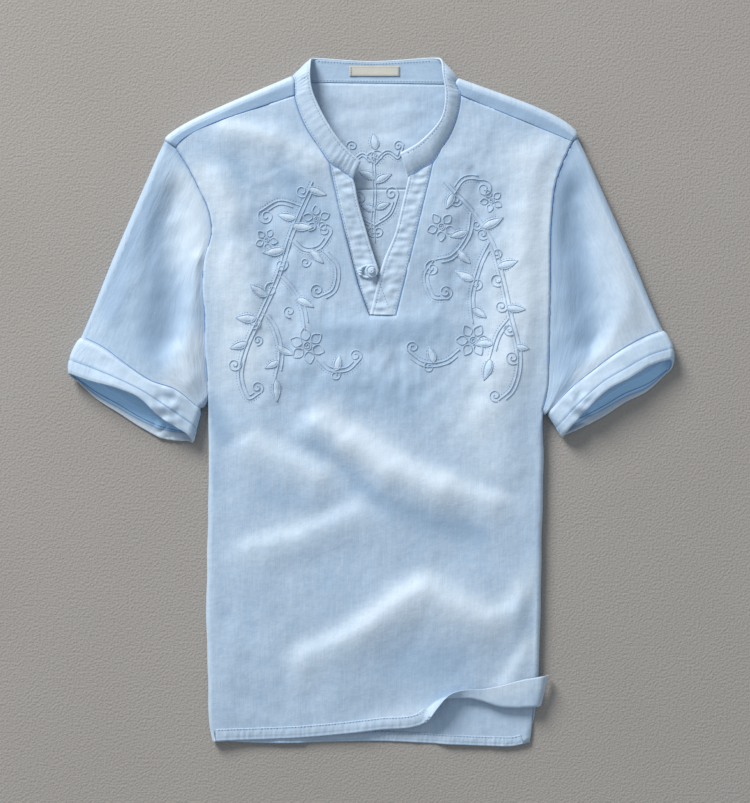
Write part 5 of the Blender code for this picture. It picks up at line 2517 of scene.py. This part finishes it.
@dataclass
class ButtonLoop:
    """The cord loop round the shank, with its knotted root on the left band."""

    seat: float
    x: float = -2.9
    y: float = 139.7
    reach_x: float = 10.2
    reach_y: float = 6.4
    cord: float = 1.25
    steps: int = 48
    pinch: float = 0.22
    wave: float = 0.15
    root_steps: int = 60
    root_turns: float = 3.0
    root_in: float = 2.6
    root_half: float = 1.1
    root_foot: float = 4.2
    root_length: float = 8.4
    root_lift: float = 0.5
    root_rise: float = 0.9

    def build(self, thread: bpy.types.Material) -> bpy.types.Object:
        """Build the loop and the turns at its root.

        Args:
            thread: Its material.

        Returns:
            The finished piece.
        """
        ring = []
        for step in range(self.steps + 1):
            turn = 2.0 * math.pi * step / self.steps
            pinch = 1.0 - self.pinch * ease(-math.cos(turn))
            ring.append(Vector((
                self.x + math.cos(turn) * self.reach_x,
                self.y + math.sin(turn) * self.reach_y * pinch,
                self.seat + self.cord + self.wave * math.cos(2.0 * turn),
            )))
        root = []
        for step in range(self.root_steps + 1):
            turn = 2.0 * self.root_turns * math.pi * step / self.root_steps
            root.append(Vector((
                self.x - self.reach_x + self.root_in + self.root_half * math.cos(turn),
                self.y - self.root_foot + self.root_length * step / self.root_steps,
                self.seat + self.cord + self.root_lift + self.root_rise * math.sin(turn),
            )))
        return Cording("button_loop_cord", [ring, root], self.cord, sides=3).build(thread, "button_loop")


@dataclass
class SizeLabel(Panel):
    """The bare woven label sewn inside the back of the collar."""

    slot = "label"
    columns: int = 12
    rows: int = 4
    wall: float = 0.6
    x: float = 4.3
    y: float = 356.6
    wide: float = 54.0
    deep: float = 10.6
    height: float = 3.1
    frame_inset: float = 1.5
    frame_half: float = 0.7
    stitch_height: float = 3.9

    def corner(self, column: float, row: float) -> Corner:
        """Return a corner of the label.

        Args:
            column: Column of the grid, whole or between two.
            row: Row of the grid, whole or between two.

        Returns:
            Its place, weave place and tone.
        """
        x = self.x + (column / self.columns - 0.5) * self.wide
        y = self.y + (row / self.rows - 0.5) * self.deep
        height = self.height + 0.35 * crumple(x, y, 14.0, 91.0)
        in_x = 0.5 * self.wide - abs(x - self.x)
        in_y = 0.5 * self.deep - abs(y - self.y)
        frame_line = max(1.0 - abs(min(in_x, in_y) - self.frame_inset) / self.frame_half, 0.0)
        return Corner(Vector((x, y, height)), (x, y), -frame_line)

    def cloth(self) -> Cloth:
        """Return the label's grid.

        Returns:
            The grid, ready to build.
        """
        return Cloth(
            "label_woven", self.columns, self.rows, fine_columns=8, fine_rows=5, corner=self.corner,
            thickness=self.wall,
        )

    def node_name(self) -> str:
        """Return the node that the label stands for."""
        return "size_label"


@dataclass
class Studio:
    """The floor, the soft light from the upper left, and the camera above."""

    floor_half: float = 2.5
    floor_cells: int = 8
    height: float = 2.2
    lens: float = 91.3
    sensor: float = 36.0
    far: float = 20.0
    centre_x: float = 0.0049
    key_power: float = 430.0
    key_size: float = 2.4
    key_place: tuple = (-2.65, 4.2, 2.8)
    key_colour: tuple = (1.0, 0.98, 0.95)
    sky: float = 0.46
    sky_colour: tuple = (0.84, 0.92, 1.0, 1.0)

    def build(self, ground: bpy.types.Material) -> None:
        """Build the floor, the light and the camera.

        Args:
            ground: The floor's material.
        """
        mesh = bmesh.new()
        cells = self.floor_cells
        bmesh.ops.create_grid(mesh, x_segments=cells, y_segments=cells, size=self.floor_half)
        floor = finish("floor", mesh, ground)
        key = bpy.data.lights.new("key", "AREA")
        key.shape = "DISK"
        key.size = self.key_size
        key.energy = self.key_power
        key.color = self.key_colour
        lamp = bpy.data.objects.new("key", key)
        lamp.location = self.key_place
        lamp.rotation_euler = (-Vector(self.key_place)).to_track_quat("-Z", "Y").to_euler()
        bpy.context.scene.collection.objects.link(lamp)
        world = bpy.data.worlds.new("studio")
        world.use_nodes = True
        world.node_tree.nodes["Background"].inputs["Color"].default_value = self.sky_colour
        world.node_tree.nodes["Background"].inputs["Strength"].default_value = self.sky
        bpy.context.scene.world = world
        view = bpy.data.cameras.new("camera")
        view.lens = self.lens
        view.sensor_width = self.sensor
        view.clip_end = self.far
        camera = bpy.data.objects.new("camera", view)
        camera.location = (self.centre_x, 0.0, self.height)
        bpy.context.scene.collection.objects.link(camera)
        bpy.context.scene.camera = camera
        bpy.context.scene.view_settings.view_transform = "Standard"


CUFF_LEFT = (
    Station(0, -312.7, 68.6, -326, 31, -322, 27, 17),
    Station(0.2, -288, 57, -301, 22.3, -296, 3, 23),
    Station(0.4, -262, 38.5, -273, 15, -271, -13, 27),
    Station(0.6, -236, 22, -247, 4, -246, -29, 28),
    Station(0.8, -208, 12, -224, -17, -220, -41, 25),
    Station(1, -180.9, -10.3, -188, -40, -187, -43, 18),
)
CUFF_RIGHT = (
    Station(0, 315.9, 76.1, 324.5, 46, 326.5, 37, 17),
    Station(0.2, 291, 66.4, 301, 39, 300, 12, 23),
    Station(0.4, 265, 52, 277, 25, 275, -1, 27),
    Station(0.6, 240, 34, 253, 12, 251, -16.5, 28),
    Station(0.8, 214, 13, 230, -10, 226, -29, 25),
    Station(1, 188.7, -14.8, 208, -35, 205, -38.5, 18),
)
SLEEVE_LEFT_FOLDS = (
    Fold(-212, 222, -218, 70, 24, -8.5),
    Fold(-262, 170, -290, 84, 13, 2.8),
    Fold(-182, 150, -196, 60, 9, 4),
    Fold(-196, 60, -188, 24, 8, 2.6),
    Fold(-232, 230, -258, 176, 10, 1.4),
    Fold(-238, 130, -246, 60, 10, -1.4),
    Fold(-222, 190, -236, 120, 8, 1.2),
    Fold(-282, 120, -300, 80, 8, 1),
)
# Painted highlights (positive rise) and painted shade (negative rise) on the left sleeve's upper face.
SLEEVE_LEFT_PAINTED_LIGHT = (
    Fold(-202, 238, -190, 170, 17, 1.3),
    Fold(-184, 66, -210, 16, 13, 1.5),
    Fold(-296, 150, -306, 100, 11, 0.6),
    Fold(-262, 180, -284, 100, 18, -0.7),
    Fold(-232, 232, -232, 60, 18, -0.65),
    Fold(-214, 130, -222, 40, 16, -0.5),
)
# Painted highlights (positive rise) and painted shade (negative rise) on the right sleeve's upper face.
SLEEVE_RIGHT_PAINTED_LIGHT = (
    Fold(262, 225, 292, 110, 22, 1.3),
    Fold(231, 30, 284, 92, 11, 1.5),
    Fold(214, 230, 226, 60, 24, -0.8),
    Fold(206, 60, 214, 10, 14, -0.6),
)
SLEEVE_RIGHT_FOLDS = (
    Fold(226, 222, 238, 70, 26, -8.5),
    Fold(284, 190, 282, 96, 13, 5),
    Fold(282, 96, 238, 34, 9, 4),
    Fold(228, 30, 284, 90, 7, 2.2),
    Fold(204, 20, 226, 52, 6, 1.2),
    Fold(212, 8, 238, 44, 6, 1),
    Fold(232, 236, 248, 180, 9, 1.3),
    Fold(270, 200, 290, 140, 10, 1.2),
    Fold(206, 150, 214, 80, 9, 1.4),
)
BANDS = (
    Band(3, 26, 95, -0.8, 93.5, 2.6),
    Band(4, 16.5, 120, 5.8, 120, 2.6),
    Band(5, 5.5, 152, 13.5, 150, 2.6),
    Band(6, -4.5, 184, 26.5, 181, 1),
    Band(7, -12.5, 212, 33.5, 210, 0),
    Band(8, -16, 230, 38.5, 231, 0),
    Band(9, -18.4, 239, 40.8, 241.2, 0),
)
COLLAR_EDGE = (
    Edge(0, -10.3, 257.6, 16),
    Edge(2, -29.7, 276, 19),
    Edge(4, -48.1, 303, 21),
    Edge(6, -62.1, 334.3, 21),
    Edge(8, -64.3, 353.7, 20),
    Edge(10, -64, 369, 11),
    Edge(12, -56.7, 371, 0),
    Edge(14, 1.6, 367.7, 0),
    Edge(16, 66.4, 371.5, 0),
    Edge(18, 76, 368.6, 11),
    Edge(20, 77.2, 351.5, 20),
    Edge(22, 79.9, 330, 21),
    Edge(24, 75.1, 303, 21),
    Edge(26, 53.5, 279.2, 19),
    Edge(28, 31.9, 266.8, 16),
)
VINE_LEFT = Ornament(
    stems=(
        (
            (-62, 236), (-74, 210), (-88, 176), (-100, 138), (-117, 98), (-134, 60), (-141, 28), (-132, 3),
            (-117, 10),
        ),
        ((-88, 176), (-72, 162), (-54, 164), (-42, 180)),
        ((-100, 138), (-86, 122), (-74, 100), (-70, 76)),
        ((-74, 210), (-98, 216), (-120, 204)),
        ((-117, 98), (-104, 78), (-98, 50), (-102, 24)),
        ((-54, 164), (-38, 146), (-40, 122), (-56, 112)),
        ((-58, 45), (-44, 33), (-24, 33), (-10, 46)),
    ),
    leaves=(
        Leaf(-122, 90, -168, 22, 9, -5), Leaf(-132, 64, -150, 20, 8, -4), Leaf(-110, 114, 164, 22, 9, -6),
        Leaf(-92, 164, -160, 24, 9, -5), Leaf(-80, 198, -176, 20, 8, -5), Leaf(-84, 190, -20, 22, 9, 5),
        Leaf(-64, 164, -60, 20, 8, 4), Leaf(-80, 110, -10, 20, 8, -5), Leaf(-100, 60, -40, 20, 8, 4),
        Leaf(-102, 24, -80, 24, 8, -3), Leaf(-66, 230, -34, 20, 8, 4), Leaf(-99, 44, -140, 16, 7, -3),
        Leaf(-38, 33, 66, 18, 8, 3),
    ),
    curls=(
        Curl(-120, 204, -120, 9, 1.6, 1), Curl(-42, 180, 60, 8, 1.6, 1), Curl(-117, 10, 40, 7, 1.5, 1),
        Curl(-104, 128, 160, 8, 1.5, 1), Curl(-126, 78, -20, 7, 1.5, 1), Curl(-92, 154, -30, 8, 1.6, -1),
        Curl(-70, 220, -150, 7, 1.4, -1), Curl(-64, 150, -90, 6, 1.4, -1), Curl(-56, 112, -170, 8, 1.6, -1),
        Curl(-10, 46, 60, 7, 1.6, 1), Curl(-34, 33, -40, 6, 1.4, -1), Curl(-86, 90, -170, 7, 1.5, -1),
        Curl(-139, 44, -60, 8, 1.6, -1), Curl(-122, 60, -10, 6, 1.5, 1),
    ),
    blossoms=(Blossom(-68, 60, 17, 6, -20), Blossom(-58, 196, 13, 5, -50), Blossom(-112, 174, 11, 5, -10)),
)
VINE_RIGHT = Ornament(
    stems=(
        (
            (78, 236), (90, 223), (108, 204), (128, 172), (140, 132), (149, 90), (158, 48), (152, 16),
            (136, 0),
        ),
        ((108, 204), (104, 180), (88, 158), (68, 152)),
        ((128, 172), (116, 146), (108, 114), (110, 84)),
        ((149, 90), (136, 72), (128, 46)),
        ((90, 223), (102, 238), (122, 238)),
        ((68, 152), (58, 134), (66, 112), (82, 110)),
        ((96, 56), (80, 44), (58, 42), (40, 54)),
    ),
    leaves=(
        Leaf(146, 102, -20, 20, 8, 4), Leaf(136, 146, 0, 22, 9, 5), Leaf(120, 188, 14, 24, 9, 4),
        Leaf(156, 60, -24, 14, 7, 3), Leaf(104, 184, -150, 20, 8, -4), Leaf(94, 164, -60, 20, 8, 4),
        Leaf(112, 132, 170, 22, 9, -5), Leaf(128, 46, -96, 24, 9, -4), Leaf(132, 62, 170, 20, 8, 4),
        Leaf(88, 224, -100, 18, 8, -4), Leaf(109, 100, -20, 18, 8, -4), Leaf(68, 42, 100, 18, 8, 3),
    ),
    curls=(
        Curl(68, 152, 170, 9, 1.7, 1), Curl(136, 0, -160, 7, 1.5, -1), Curl(122, 238, 0, 9, 1.6, -1),
        Curl(140, 124, -150, 8, 1.5, -1), Curl(153, 72, -140, 7, 1.5, -1), Curl(126, 176, -130, 7, 1.5, -1),
        Curl(98, 214, -110, 7, 1.5, -1), Curl(134, 154, -20, 6, 1.4, 1), Curl(82, 110, 10, 8, 1.6, 1),
        Curl(40, 54, 130, 7, 1.6, -1), Curl(60, 42, -150, 6, 1.4, 1), Curl(158, 42, -130, 8, 1.6, -1),
        Curl(147, 100, -110, 7, 1.5, -1), Curl(120, 190, -90, 6, 1.5, -1), Curl(112, 120, -20, 7, 1.5, 1),
    ),
    blossoms=(Blossom(110, 66, 16, 6, 0), Blossom(76, 188, 14, 5, -20), Blossom(130, 216, 11, 5, -30)),
)
SCROLL_BACK = Ornament(
    stems=(
        ((5, 172), (4, 196), (6, 222), (5, 250), (4, 272)),
        ((5, 190), (-12, 200), (-20, 218)),
        ((5, 190), (22, 202), (30, 222)),
        ((5, 256), (-8, 268), (-20, 262), (-26, 276)),
        ((5, 256), (18, 268), (30, 262), (36, 276)),
    ),
    leaves=(
        Leaf(5, 272, 92, 18, 9, 2), Leaf(5, 236, 40, 20, 8, -4), Leaf(5, 240, 142, 20, 8, 4),
        Leaf(5, 206, 150, 16, 7, 3), Leaf(6, 208, 34, 16, 7, -3),
    ),
    curls=(
        Curl(-20, 218, 100, 8, 1.6, -1), Curl(30, 222, 70, 8, 1.6, 1), Curl(5, 256, 30, 8, 1.5, 1),
        Curl(4, 258, 150, 8, 1.5, -1), Curl(4, 178, 200, 6, 1.4, -1), Curl(6, 178, -20, 6, 1.4, 1),
        Curl(-26, 276, 90, 6, 1.5, -1), Curl(36, 276, 90, 6, 1.5, 1),
    ),
    apart=3.0,
)


SHEETS = (
    Sheet("back_linen", 0.50, 0.60, 0.257, "laid", ("floor",), (
        "back_hem_band", "scroll_back", "scroll_back_satin", "scroll_back_running",
    )),
    Sheet("front_linen", 0.56, 0.70, 0.278, "laid", ("back_linen",), (
        "front_hem_band", "hem_stitches", "seam_lines", "vine_left", "vine_left_satin", "vine_left_running",
        "vine_right", "vine_right_satin", "vine_right_running",
    )),
    Sheet("yoke_linen", 0.445, 0.20, 0.049, "laid", ("floor",)),
    Sheet("sleeve_left_linen", 0.60, 0.17, 0.056, "laid", ("floor",)),
    Sheet("sleeve_right_linen", 0.60, 0.17, 0.048, "laid", ("floor",)),
    Sheet("cuff_left_linen", 0.40, 0.036, None, "folded", ("floor",), ("cuff_stitches",)),
    Sheet("cuff_right_linen", 0.40, 0.036, None, "folded", ("floor",)),
    Sheet("collar_linen", 0.47, 0.028, None, "folded", ("front_linen", "floor"), ("collar_stitches",)),
    Sheet("placket_left_linen", 0.028, 0.165, None, "laid", ("front_linen",)),
    Sheet("placket_right_linen", 0.028, 0.165, None, "laid", ("front_linen",), ("seam_stitches",)),
    Sheet("label_woven", 0.055, 0.011, None, "laid", ("collar_linen",), ("label_stitches",)),
)


class Shirt:
    """The whole shirt, built in order."""

    button_seat: float = 10.0
    pressed: float = -0.05
    proud: float = 0.1

    def __init__(self) -> None:
        """Mix the finishes."""
        self.plain = Linen("linen_plain").material()
        self.double = Linen(
            "linen_doubled", colour=(0.405, 0.530, 0.675, 1.0), pale=(0.575, 0.675, 0.780, 1.0)
        ).material()
        self.thread = Thread("thread_blue").material()
        # Dark blue of the cords that paint the seams' shade.
        self.seam = Thread("seam_blue", (0.10, 0.23, 0.50, 1.0), (0.18, 0.34, 0.62, 1.0)).material()
        self.cord = Thread("cord_blue", (0.27, 0.39, 0.54, 1.0), (0.47, 0.58, 0.71, 1.0), 0.0016).material()
        self.knot = Thread("knot_blue", (0.40, 0.53, 0.67, 1.0), (0.56, 0.67, 0.79, 1.0), 0.0016).material()
        self.woven = Linen(
            "label_cream", colour=(0.50, 0.50, 0.45, 1.0), pale=(0.60, 0.60, 0.55, 1.0),
            dim=(0.42, 0.42, 0.38, 1.0), deep=(0.40, 0.40, 0.36, 1.0), thread=0.0006, slub_length=0.010,
            cross_length=0.006, roughness=0.75, sheen=0.1, bump=0.0004,
        ).material()

    def cloths(self) -> dict[str, bpy.types.Object]:
        """Build the sheets of cloth.

        Returns:
            The sheets by name.
        """
        made = {}
        made["back"] = BackPanel(FORM).build(self.plain)
        made["front"] = FrontPanel(FORM).build(self.plain)
        made["yoke"] = Yoke(FORM).build(self.plain)
        self.tubes = (
            Tube(FORM, Hand.LEFT, CUFF_LEFT, SLEEVE_LEFT_FOLDS, SLEEVE_LEFT_PAINTED_LIGHT),
            Tube(FORM, Hand.RIGHT, CUFF_RIGHT, SLEEVE_RIGHT_FOLDS, SLEEVE_RIGHT_PAINTED_LIGHT),
        )
        for tube in self.tubes:
            made["sleeve_" + tube.word] = Sleeve(tube).build(self.plain)
        for tube in self.tubes:
            made["cuff_" + tube.word] = Cuff(tube).build(self.double)
        self.collar = Collar(FORM, BANDS, COLLAR_EDGE)
        made["collar"] = self.collar.build(self.double)
        self.bands = {hand: Placket(FORM, BANDS, hand) for hand in Hand}
        for band in self.bands.values():
            made[band.node_name()] = band.build(self.double)
        return made

    def seams(self, made: dict[str, bpy.types.Object]) -> dict[str, bpy.types.Object]:
        """Lay the hems on the front and the back.

        Args:
            made: The sheets by name.

        Returns:
            The strips by name.
        """
        bands = {}
        hems = FrontPanel(FORM).hems
        edge = []
        for index in range(60):
            x = mix(-168.0, 66.0, index / 59.0)
            row = smooth(hems, x)
            edge.append(Vector((x + 3.0 * ease((-x - 160.0) / 12.0), row.start - row.length + 0.3)))
        bands["hem_front"] = SeamBand(
            "front_hem_band", edge, width=13.0, rise=0.5, pucker=0.3, pitch=5.2, seed=13.0
        )
        edge = [Vector((x, smooth(BackPanel(FORM).hems, x).y + 0.3)) for x in range(-166, 168, 4)]
        bands["hem_back"] = SeamBand(
            "back_hem_band", edge, width=10.5, rise=0.5, pucker=0.4, pitch=4.8, seed=17.0
        )
        return {
            key: band.build(Surface(made[key.split("_")[1]]), self.plain)
            for key, band in bands.items()
        }

    def stitches(self, made: dict[str, bpy.types.Object]) -> None:
        """Sew the visible rows of stitches, and lay dark cords in the seams as painted shade.

        Args:
            made: The sheets by name.
        """
        top = Surface(*made.values())
        columns = len(self.collar.seam) - 1
        lines = []
        for hand in Hand:
            arm = [FORM.arm(hand, 0.1 + index * 0.2) for index in range(65)]
            seam = [FORM.yoke_seam(hand, 0.01 + index * 0.0196) for index in range(51)]
            foot = [self.bands[hand].at(FORM.apex + index * 0.15, 0.0) for index in range(41)]
            start, end = (0.0, 9.8) if hand is Hand.LEFT else (columns - 9.8, columns)
            neck = [self.collar.at(mix(start, end, index / 90.0), 0.0) for index in range(91)]
            lines += [top.along(run, self.pressed) for run in (arm, seam, foot, neck)]
        for tube in self.tubes:
            edge = [tube.place(index * 0.1, 0.99, 0.0)[0] for index in range(10 * tube.upper + 1)]
            lines.append(top.along(edge, self.pressed))
            first = tube.upper + tube.bend
            edge = [
                tube.place(first + index * 0.1, mix(1.76, 1.93, index / (10.0 * tube.upper)), 0.0)[0]
                for index in range(10 * tube.upper + 1)
            ]
            lines.append(top.along(edge, 0.2, 7.0))
            edge = [tube.place(index * 0.1, 1.6, 0.0)[0] for index in range(10 * tube.upper + 1)]
            lines.append(top.along(edge, -0.2))
        # Dark cords pressed into the seams and along the cuffs' edge, seam and lower rim: painted shade of
        # those creases.
        Cording("seam_lines", lines, radius=0.42, sides=1).build(self.seam)
        lines = []
        for hand in Hand:
            band = self.bands[hand]
            for across in (0.09, 0.86):
                run = [band.at(FORM.apex + 0.2 + index * 0.145, across) for index in range(40)]
                lines.append(top.along(run, self.proud))
        Stitching("seam_stitches", lines).build(self.thread)
        lines = []
        for share in (0.1, 0.86):
            for start, end in ((0.4, 9.6), (columns - 9.6, columns - 0.4)):
                run = [self.collar.at(mix(start, end, index / 90.0), share) for index in range(91)]
                lines.append(top.along(run, self.proud))
            run = [self.collar.at(mix(12.2, 15.8, index / 60.0), share) for index in range(61)]
            lines.append(top.along(run, self.proud))
        Stitching("collar_stitches", lines).build(self.thread)
        hems = FrontPanel(FORM).hems
        lines = []
        run = []
        for index in range(60):
            x = mix(-168.0, 58.0, index / 59.0)
            row = smooth(hems, x)
            run.append(Vector((x, row.start - row.length + 12.2)))
        lines.append(top.along(run, self.proud))
        run = [Vector((x, smooth(BackPanel(FORM).hems, x).y + 9.4)) for x in range(-164, 168, 4)]
        lines.append(Surface(made["back"], made["hem_back"]).along(run, self.proud))
        Stitching("hem_stitches", lines).build(self.thread)
        lines = []
        for tube in self.tubes:
            run = [tube.place(0.1 + index * 0.1, 1.6, 0.0)[0] for index in range(139)]
            lines.append(top.along(run, self.proud))
        Stitching("cuff_stitches", lines).build(self.thread)
        label = SizeLabel()
        lines = []
        for side in (-0.47, 0.47):
            x = label.x + side * label.wide
            ends = (label.y - 0.46 * label.deep, label.y + 0.46 * label.deep)
            lines.append([Vector((x, y, label.stitch_height)) for y in ends])
        Stitching("label_stitches", lines, length=1.6, pitch=2.4, thick=0.45).build(self.thread)

    def ornaments(self, made: dict[str, bpy.types.Object]) -> None:
        """Lay the corded vines on the chest and the scroll inside the back.

        Args:
            made: The sheets by name.
        """
        chest = Surface(made["front"], made["yoke"])
        inside = Surface(made["back"], made["yoke"])
        grounds = (
            ("vine_left", VINE_LEFT, chest),
            ("vine_right", VINE_RIGHT, chest),
            ("scroll_back", SCROLL_BACK, inside),
        )
        for name, design, ground in grounds:
            lines = [ground.along(spaced(line, POINT_STEP), 0.25) for line in design.lines()]
            Cording(name, lines, radius=0.66).build(self.cord)
            Satin(name + "_satin", design.leaves).build(ground, self.knot)
            outlines = [ground.along(spaced(line, POINT_STEP), self.proud) for line in design.outlines()]
            Stitching(name + "_running", outlines, length=1.7, pitch=3.0, thick=0.3).build(self.thread)

    def trims(self) -> None:
        """Add the button, its loop and the label."""
        KnotButton(self.button_seat).build(self.knot)
        ButtonLoop(self.button_seat).build(self.knot)
        SizeLabel().build(self.woven)


def declare_sheets() -> None:
    """Read through the table of sheets; nothing is done with its rows."""
    for sheet in SHEETS:
        list(sheet.rests_on)
        list(sheet.with_pieces)


def main() -> None:
    """Build the scene."""
    logging.basicConfig(level=logging.INFO, format="%(message)s")
    shirt = Shirt()
    made = shirt.cloths()
    made.update(shirt.seams(made))
    shirt.stitches(made)
    shirt.ornaments(made)
    shirt.trims()
    Studio().build(Ground().material())
    declare_sheets()
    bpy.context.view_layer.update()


if __name__ == "__main__":
    main()
